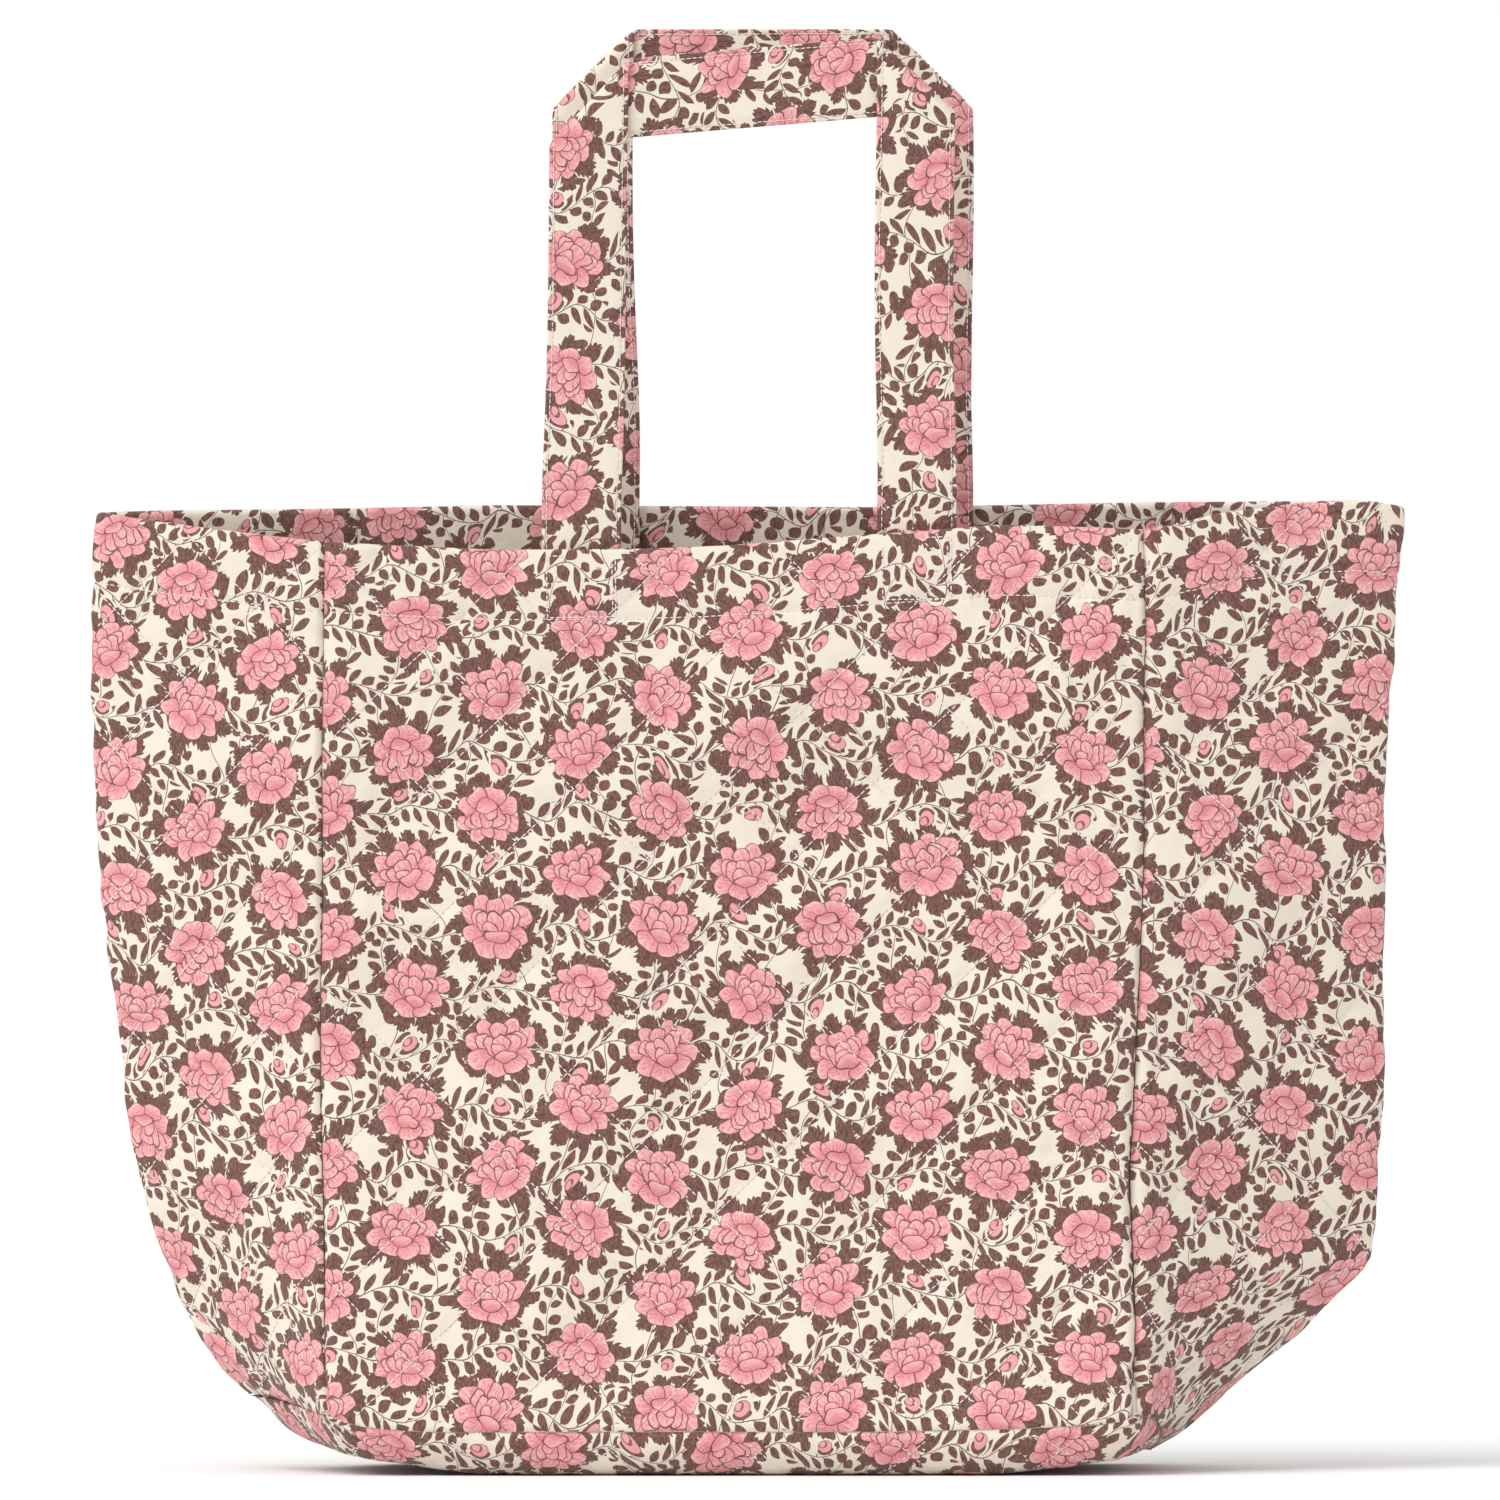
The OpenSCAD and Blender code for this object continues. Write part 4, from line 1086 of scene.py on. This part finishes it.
def print_cloth(name, dx=0.0, dy=0.0):
    """Printed quilting cotton: staggered pink blossoms with toothed brown leaves, sprigs and buds on cream."""
    m = bpy.data.materials.new(name)
    T = Tree(m)
    P0 = flat_point(T, dx, dy)
    # a hand-drawn unevenness of the whole drawing
    wob = T.vmath("SUBTRACT", T.noise(P0, 0.032, 1.0, 0.5, color=True), (0.5, 0.5, 0.5))
    wob2 = T.vmath("SUBTRACT", T.noise(P0, 0.16, 0.0, 0.5, color=True), (0.5, 0.5, 0.5))
    Pw = T.vmath("ADD", P0, T.vmath("SCALE", wob, scale=12.0))
    Pb = T.vmath("ADD", T.vmath("ADD", P0, T.vmath("SCALE", wob, scale=6.0)), T.vmath("SCALE", wob2, scale=2.6))
    # -- which blossom: a staggered lattice with two per 85 x 60 mm
    x, y, _ = T.sep(Pb)
    ax, ay = (x * (1 / 85.0)), (y * (1 / 60.0))
    ca = T.comb(ax.round(), ay.round(), 3.0)
    cb = T.comb((ax - 0.5).round(), (ay - 0.5).round(), 17.0)
    ha, hb = T.white(ca), T.white(cb)

    def local(c, h, ox, oy):
        cx, cy, _ = T.sep(c)
        hx, hy, hz = T.sep(h)
        return x - (cx + ox) * 85.0 - (hx - 0.5) * 8.0, y - (cy + oy) * 60.0 - (hy - 0.5) * 7.0

    pax, pay = local(ca, ha, 0.0, 0.0)
    pbx, pby = local(cb, hb, 0.5, 0.5)
    da = pax * pax + pay * pay
    db = pbx * pbx + pby * pby
    pick = db.less(da)
    border = (db - da).abs() * (1 / 104.0)
    Q = T.mixv(pick, T.comb(pax, pay), T.comb(pbx, pby))
    H = T.mixv(pick, ha, hb)
    hx, hy, hz = T.sep(H)
    # turn each blossom its own way; some hang upside down
    rot = T.node("ShaderNodeVectorRotate")
    rot.rotation_type = "Z_AXIS"
    T.put(rot.inputs["Vector"], Q)
    T.put(rot.inputs["Angle"], T.ramp(hz, 0.0, 1.0, -0.75, 0.75) + (hx * 7.0).fract().more(0.56) * math.pi)
    V = T.vmath("SCALE", E(T, rot.outputs[0]), scale=T.ramp(hy, 0.0, 1.0, 1.24, 1.11))
    vx, vy, _ = T.sep(V)

    def ma(p, q, r):
        return T.math("MULTIPLY_ADD", p, q, r)

    # -- petals, the ones at the back first
    edges = outside = tint = None
    for cx, cy, rl, rw, deg, tip in PETALS:
        c, d = math.cos(math.radians(deg)), math.sin(math.radians(deg))
        X = ma(vy, d / rl, ma(vx, c / rl, -(cx * c + cy * d) / rl))
        Y = ma(vy, c / rw, ma(vx, -d / rw, (cx * d - cy * c) / rw))
        Y = Y * ma(X, -tip, 1.0)
        q = ma(X, X, Y.abs() ** 1.7)
        size = min(rl, rw) * 0.5
        gap = ma(q, size, -size)                                # below 0 inside this petal
        tone = ma(X, 0.42, 0.34)
        if edges is None:
            edges, tint, outside = gap.abs(), tone, gap
        else:
            inside = gap.less(0.0)
            edges = ma(inside, 40.0, edges).min(gap.abs())
            tint = T.mixf(inside, tint, tone)
            outside = outside.min(gap)
    # fine strokes that run out along the petals
    stroke_at = T.comb(T.math("ARCTAN2", vy + 5.0, vx) * 3.2, (vx * vx + vy * vy).sqrt() * 0.07)
    strokes = T.noise(stroke_at, 4.2, 1.0, 0.6)
    tone = tint + (strokes - 0.5) * 1.5
    petal = T.mixc(T.ramp(tone, -0.05, 0.5), PINK_DARK, PINK)
    petal = T.mixc(T.ramp(tone, 0.45, 0.95), petal, PINK_LIGHT)
    petal = T.mixc(T.ramp(edges, 0.10, 0.33, 0.95, 0.0), petal, LINE)
    blossom = T.ramp(outside, -0.05, 0.2, 1.0, 0.0)
    # -- the toothed leaves round the blossom
    r = (vx * vx + vy * vy).sqrt()
    u = T.math("ARCTAN2", vy, vx) * (9 / (2 * math.pi)) + hz * 7.0
    lx, ly, lz = T.sep(T.white(T.comb(u.floor(), hx * 91.0, hy * 57.0)))
    across = (u.fract() - 0.5 + (lx - 0.5) * 0.16) * r * (2 * math.pi / 9)
    aa = across.abs()
    reach = T.ramp(ly, 0.0, 1.0, 24.0, 28.4) * lz.more(0.08)
    where = (r - 10.0) / (reach - 10.0)
    full = (where * (1.0 - where)).max(0.0) * 4.0
    tooth = ma(r, 1 / 4.0, aa * -0.20).fract()
    leaf_gap = aa - (full ** 0.55) * 7.3 + (1.0 - tooth) * 2.7
    leaf_gap = leaf_gap.max(0.6 - border).max(aa - r * (math.pi / 9) + 0.5)
    rib = aa.min((ma(r, 0.40, aa * -0.34).fract() - 0.5).abs() * 2.0 + 0.18)
    ring_leaf = T.ramp(leaf_gap, -0.1, 0.15, 1.0, 0.0)
    ring_dark = T.ramp(leaf_gap, -0.6, -0.1, 0.0, 0.8).max(T.ramp(rib, 0.16, 0.5, 0.8, 0.0))
    # -- sprigs between the blossoms: stems that weave along rows 30 mm apart, leaves left and right
    wx, wy, _ = T.sep(Pw)
    row = (wy * (1 / 30.0)).round()
    par = (row * 0.5).fract() * 2.0                        # 0 or 1
    v = wy - row * 30.0 + (wx * (2 * math.pi / 42.5) + row * 2.1).sin() * 4.2
    side = v.more(0.0)
    along = wx * (1 / 7.0) + side * 0.5
    sx, sy, sz = T.sep(T.white(T.comb(along.floor(), row, side + 5.0)))
    la = (along.fract() - 0.16) * 7.0
    lv = v.abs()
    # turn the leaf to lie out from the stem
    q1 = la * 0.60 + lv * 0.80
    q2 = la * 0.80 - lv * 0.60
    q2 = q2 + (sy - 0.5) * q1 * 0.30
    mid = (q1 - 1.1) / T.ramp(sx, 0.0, 1.0, 7.8, 9.3)
    wide = (mid * (1.0 - mid)).max(0.0) * 4.0
    sprig_gap = q2.abs() - (wide ** 0.72) * T.ramp(sz, 0.0, 1.0, 1.9, 2.35)
    there = mid.more(0.0) * mid.less(1.0)
    sprig = T.ramp(sprig_gap, -0.10, 0.14, 1.0, 0.0) * there
    stalk = T.ramp(q2.abs().max(q1 - 1.8), 0.1, 0.3, 1.0, 0.0)
    stem = T.ramp(lv, 0.12, 0.32, 1.0, 0.0).max(stalk)
    small_edge = T.ramp(sprig_gap, -0.5, -0.1, 0.0, 0.7).max(T.ramp(q2.abs(), 0.08, 0.26, 0.45, 0.0))
    # second sprigs that cross the gaps upwards
    col = (wx * (1 / 21.25) + 0.5).round()
    v2 = wx - (col - 0.5) * 21.25 + (wy * (2 * math.pi / 60.0) + col * (math.pi / 2)).sin() * 4.5
    side2 = v2.more(0.0)
    along2 = wy * (1 / 7.0) + side2 * 0.5
    tx, ty, tz = T.sep(T.white(T.comb(along2.floor(), col, side2 + 9.0)))
    la2 = (along2.fract() - 0.16) * 7.0
    lv2 = v2.abs()
    r1 = la2 * 0.60 + lv2 * 0.80
    r2 = la2 * 0.80 - lv2 * 0.60
    r2 = r2 + (ty - 0.5) * r1 * 0.3
    mid2 = (r1 - 1.1) / T.ramp(tx, 0.0, 1.0, 6.6, 8.2)
    wide2 = (mid2 * (1.0 - mid2)).max(0.0) * 4.0
    clear = T.ramp(lv, 7.6, 8.0) * tz.more(0.10)
    gap2 = r2.abs() - (wide2 ** 0.72) * 2.15
    sprig2 = T.ramp(gap2, -0.10, 0.14, 1.0, 0.0) * mid2.more(0.0) * mid2.less(1.0) * clear
    stem2 = T.ramp(lv2, 0.10, 0.28, 1.0, 0.0) * T.ramp(lv, 0.4, 0.6)
    # -- buds, one near the middle of each gap
    bx = wx * (1 / 85.0) + par * 0.5
    b1, b2, b3 = T.sep(T.white(T.comb(bx.floor(), row, 31.0)))
    dirn = b3.more(0.5) * 2.0 - 1.0
    ux = (bx.fract() - 0.5) * 85.0 - (b1 - 0.5) * 16.0
    uy = (v - (b2 - 0.5) * 3.0) * dirn - 6.6
    bud_gap = (ux * ux * 0.92 + uy * uy * 0.80).sqrt() - 3.5
    bud = T.ramp(bud_gap, -0.1, 0.12, 1.0, 0.0)
    fold = (ux - uy * 0.35).abs().min(((ux + 1.1) * (ux + 1.1) + (uy - 1.4) * (uy - 1.4)).sqrt() * -1.0 + 2.1).abs()
    bud_line = T.ramp(bud_gap.abs().min(fold), 0.14, 0.38, 0.9, 0.0)
    cal = (ux * ux * 0.44 + (uy + 2.8) * (uy + 2.8) * 1.2).sqrt() - 2.7
    calyx = T.ramp(cal, -0.1, 0.12, 1.0, 0.0)
    room = T.ramp(cal.min(bud_gap), 0.9, 1.1)
    # -- put together, back to front
    hatch = T.noise(T.vmath("MULTIPLY", Pb, (0.95, 0.32, 0.0)), 1.0, 2.0, 0.65)
    brown = T.mixc(T.ramp(hatch, 0.35, 0.65), BROWN_DARK, BROWN)
    ground = T.mixc(T.ramp(T.noise(P0, 0.035, 2.0, 0.6), 0.35, 0.75, 0.0, 0.35), CREAM, lin(240, 226, 204, K))
    c = T.mixc(stem2 * room, ground, LINE)
    c = T.mixc(sprig2 * room, c, brown)
    c = T.mixc(stem, c, LINE)
    c = T.mixc(sprig * room, c, T.mixc(small_edge, brown, LINE))
    c = T.mixc(ring_leaf, c, T.mixc(ring_dark, brown, LINE))
    c = T.mixc(calyx, c, T.mixc(T.ramp(cal, -0.5, -0.1, 0.0, 0.7), brown, LINE))
    c = T.mixc(bud, c, T.mixc(bud_line, PINK, LINE))
    c = T.mixc(blossom, c, petal)
    # the ink follows the threads a little
    grain = T.noise(T.vmath("MULTIPLY", P0, (2.6, 0.5, 0.0)), 1.0, 1.0, 0.7)
    c = T.mixc(T.ramp(grain, 0.3, 0.8, 0.0, 0.10), c, CREAM)
    fine = T.noise(P0, 0.16, 3.0, 0.6)
    height = weave_height(T, P0) * 0.07 + fine * 1.0
    finish_cloth(T, c, height, 0.88, 0.0007)
    return m


def plain_cloth(name, colour, dark):
    m = bpy.data.materials.new(name)
    T = Tree(m)
    P = flat_point(T)
    n = T.noise(P, 0.03, 3.0, 0.6)
    grain = T.noise(T.vmath("MULTIPLY", P, (3.0, 0.35, 0.0)), 1.0, 1.0, 0.7)
    c = T.mixc(T.ramp(n, 0.3, 0.75, 0.0, 0.6), colour, dark)
    c = T.mixc(T.ramp(grain, 0.35, 0.8, 0.0, 0.35), c, dark)
    fine = T.noise(P, 0.16, 3.0, 0.6)
    finish_cloth(T, c, weave_height(T, P) * 0.12 + fine * 1.0, 0.92, 0.0007, 0.1)
    return m


def thread_material(name, colour, dark):
    m = bpy.data.materials.new(name)
    T = Tree(m)
    tc = T.node("ShaderNodeTexCoord")
    P = T.vmath("SCALE", E(T, tc.outputs["Object"]), scale=1000.0)
    x, y, z = T.sep(P)
    ply = ((x + z) * 7.0 + y * 3.0).sin()
    nn = T.t.nodes.new("ShaderNodeTexNoise")
    T.put(nn.inputs["Vector"], P)
    nn.inputs["Scale"].default_value = 0.4
    c = T.mixc(T.ramp(ply, -1.0, 1.0, 0.0, 0.35), colour, dark)
    c = T.mixc(T.ramp(E(T, nn.outputs[0]), 0.3, 0.7, 0.0, 0.3), c, dark)
    finish_cloth(T, c, ply, 0.55, 0.00005, 0.2)
    return m


m_front = print_cloth("print_cotton")
m_lining = plain_cloth("lining_cotton", lin(244, 236, 222, K), lin(228, 216, 198, K))
m_thread = thread_material("thread", lin(253, 240, 238, K), lin(244, 218, 217, K))


def dress(ob, mats):
    for mm in mats:
        ob.data.materials.append(mm)


# ---------------------------------------------------------------- what moves with what
half_of = {"F": "front_half", "LF": "front_half", "RF": "front_half", "B": "back_half", "LB": "back_half", "RB": "back_half"}
D_FOLD = float(depth(np.array(470.0))) * 0.001
for key, w in walls.items():
    dress(w.obj, [m_front, m_lining])
    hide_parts(*w.nodes)
    group = [w.obj, stitch_objs[key + "q"], stitch_objs[key + "h"]]
    for ob in group:
        if ob is not w.obj:
            dress(ob, [m_thread])
        if w.side == 0:
            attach(ob, half_of[key])
        else:
            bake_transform(ob)
for key in ("F", "B"):
    dress(stitch_objs[key + "b"], [m_thread])
    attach(stitch_objs[key + "b"], half_of[key])
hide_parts("front_hem_thread")
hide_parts("back_hem_thread")
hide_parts("front_box_thread")
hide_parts("back_box_thread")
dress(base_obj, [m_front, m_lining])
dress(stitch_objs["baseq"], [m_thread])
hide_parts("base_outer", "base_wadding", "base_lining")
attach(base_obj, "base")
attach(stitch_objs["baseq"], "base")
for strap, key, half, body, thread in ((front_strap, "fs", "front_half", "front_strap", "front_strap_thread"),
                                       (back_strap, "bs", "back_half", "back_strap", "back_strap_thread")):
    dress(strap.obj, [m_front])
    dress(stitch_objs[key], [m_thread])
    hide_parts(*strap.nodes)
    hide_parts(thread)
    for ob in (strap.obj, stitch_objs[key]):
        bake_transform(ob)

# ---------------------------------------------------------------- the flat width and height of each wall
for key, w in walls.items():
    width = float(np.mean(w.arc[:, -1])) * 0.001
    up = float(np.linalg.norm(np.diff(w.outer[: w.rows - 4, w.n // 2], axis=0), axis=-1).sum()) * 0.001
    w.flat = (round(width, 3), round(up + HEM * 0.001, 3))

# ---------------------------------------------------------------- floor, light, camera
def stage_floor():
    m = bpy.data.materials.new("floor_white")
    T = Tree(m)
    tc = T.node("ShaderNodeTexCoord")
    nn = T.t.nodes.new("ShaderNodeTexNoise")
    T.t.links.new(tc.outputs["Object"], nn.inputs["Vector"])
    nn.inputs["Scale"].default_value = 3.0
    c = T.mixc(T.ramp(E(T, nn.outputs[0]), 0.3, 0.7, 0.0, 0.3), (0.95, 0.95, 0.95, 1), (0.93, 0.93, 0.93, 1))
    p = T.node("ShaderNodeBsdfPrincipled")
    T.put(p.inputs["Base Color"], c)
    p.inputs["Roughness"].default_value = 0.9
    p.inputs["Specular IOR Level"].default_value = 0.0
    o = T.node("ShaderNodeOutputMaterial")
    T.t.links.new(p.outputs[0], o.inputs["Surface"])
    me = bpy.data.meshes.new("floor")
    s = 60.0
    me.from_pydata([(-s, -s, 0), (s, -s, 0), (s, s, 0), (-s, s, 0)], [], [(0, 1, 2, 3)])
    ob = bpy.data.objects.new("floor", me)
    ob.location = (0, 0, -0.0006)
    me.materials.append(m)
    scene.collection.objects.link(ob)


stage_floor()


world = bpy.data.worlds.new("studio")
world.use_nodes = True
bg = world.node_tree.nodes["Background"]
bg.inputs[0].default_value = (1.0, 1.0, 1.0, 1)
# the camera sees a white studio; the light it gives is softer than the lamp's
seen = world.node_tree.nodes.new("ShaderNodeLightPath")
level = world.node_tree.nodes.new("ShaderNodeMapRange")
world.node_tree.links.new(seen.outputs["Is Camera Ray"], level.inputs[0])
level.inputs[3].default_value = 0.76
level.inputs[4].default_value = 1.0
world.node_tree.links.new(level.outputs[0], bg.inputs[1])
scene.world = world
lamp = bpy.data.lights.new("key", "SUN")
lamp.energy = 1.78
lamp.angle = math.radians(50)
key = bpy.data.objects.new("key", lamp)
key.rotation_euler = Vector((0.52, 0.50, -0.69)).to_track_quat("-Z", "Y").to_euler()
scene.collection.objects.link(key)
scene.view_settings.view_transform = "Standard"
scene.view_settings.look = "None"

cam = bpy.data.cameras.new("camera")
cam.lens = 600
cam.sensor_width = 36
cam.clip_start = 0.1
cam.clip_end = 200
camera = bpy.data.objects.new("camera", cam)
scene.collection.objects.link(camera)
half = math.atan(18 / cam.lens)
z_mid = (float(BS_HI[2]) * 0.001) / 2 - 0.00075
camera.location = (0.0005, -0.06 - 0.375 / math.tan(half), z_mid)
camera.rotation_euler = (math.pi / 2, 0, 0)
scene.camera = camera
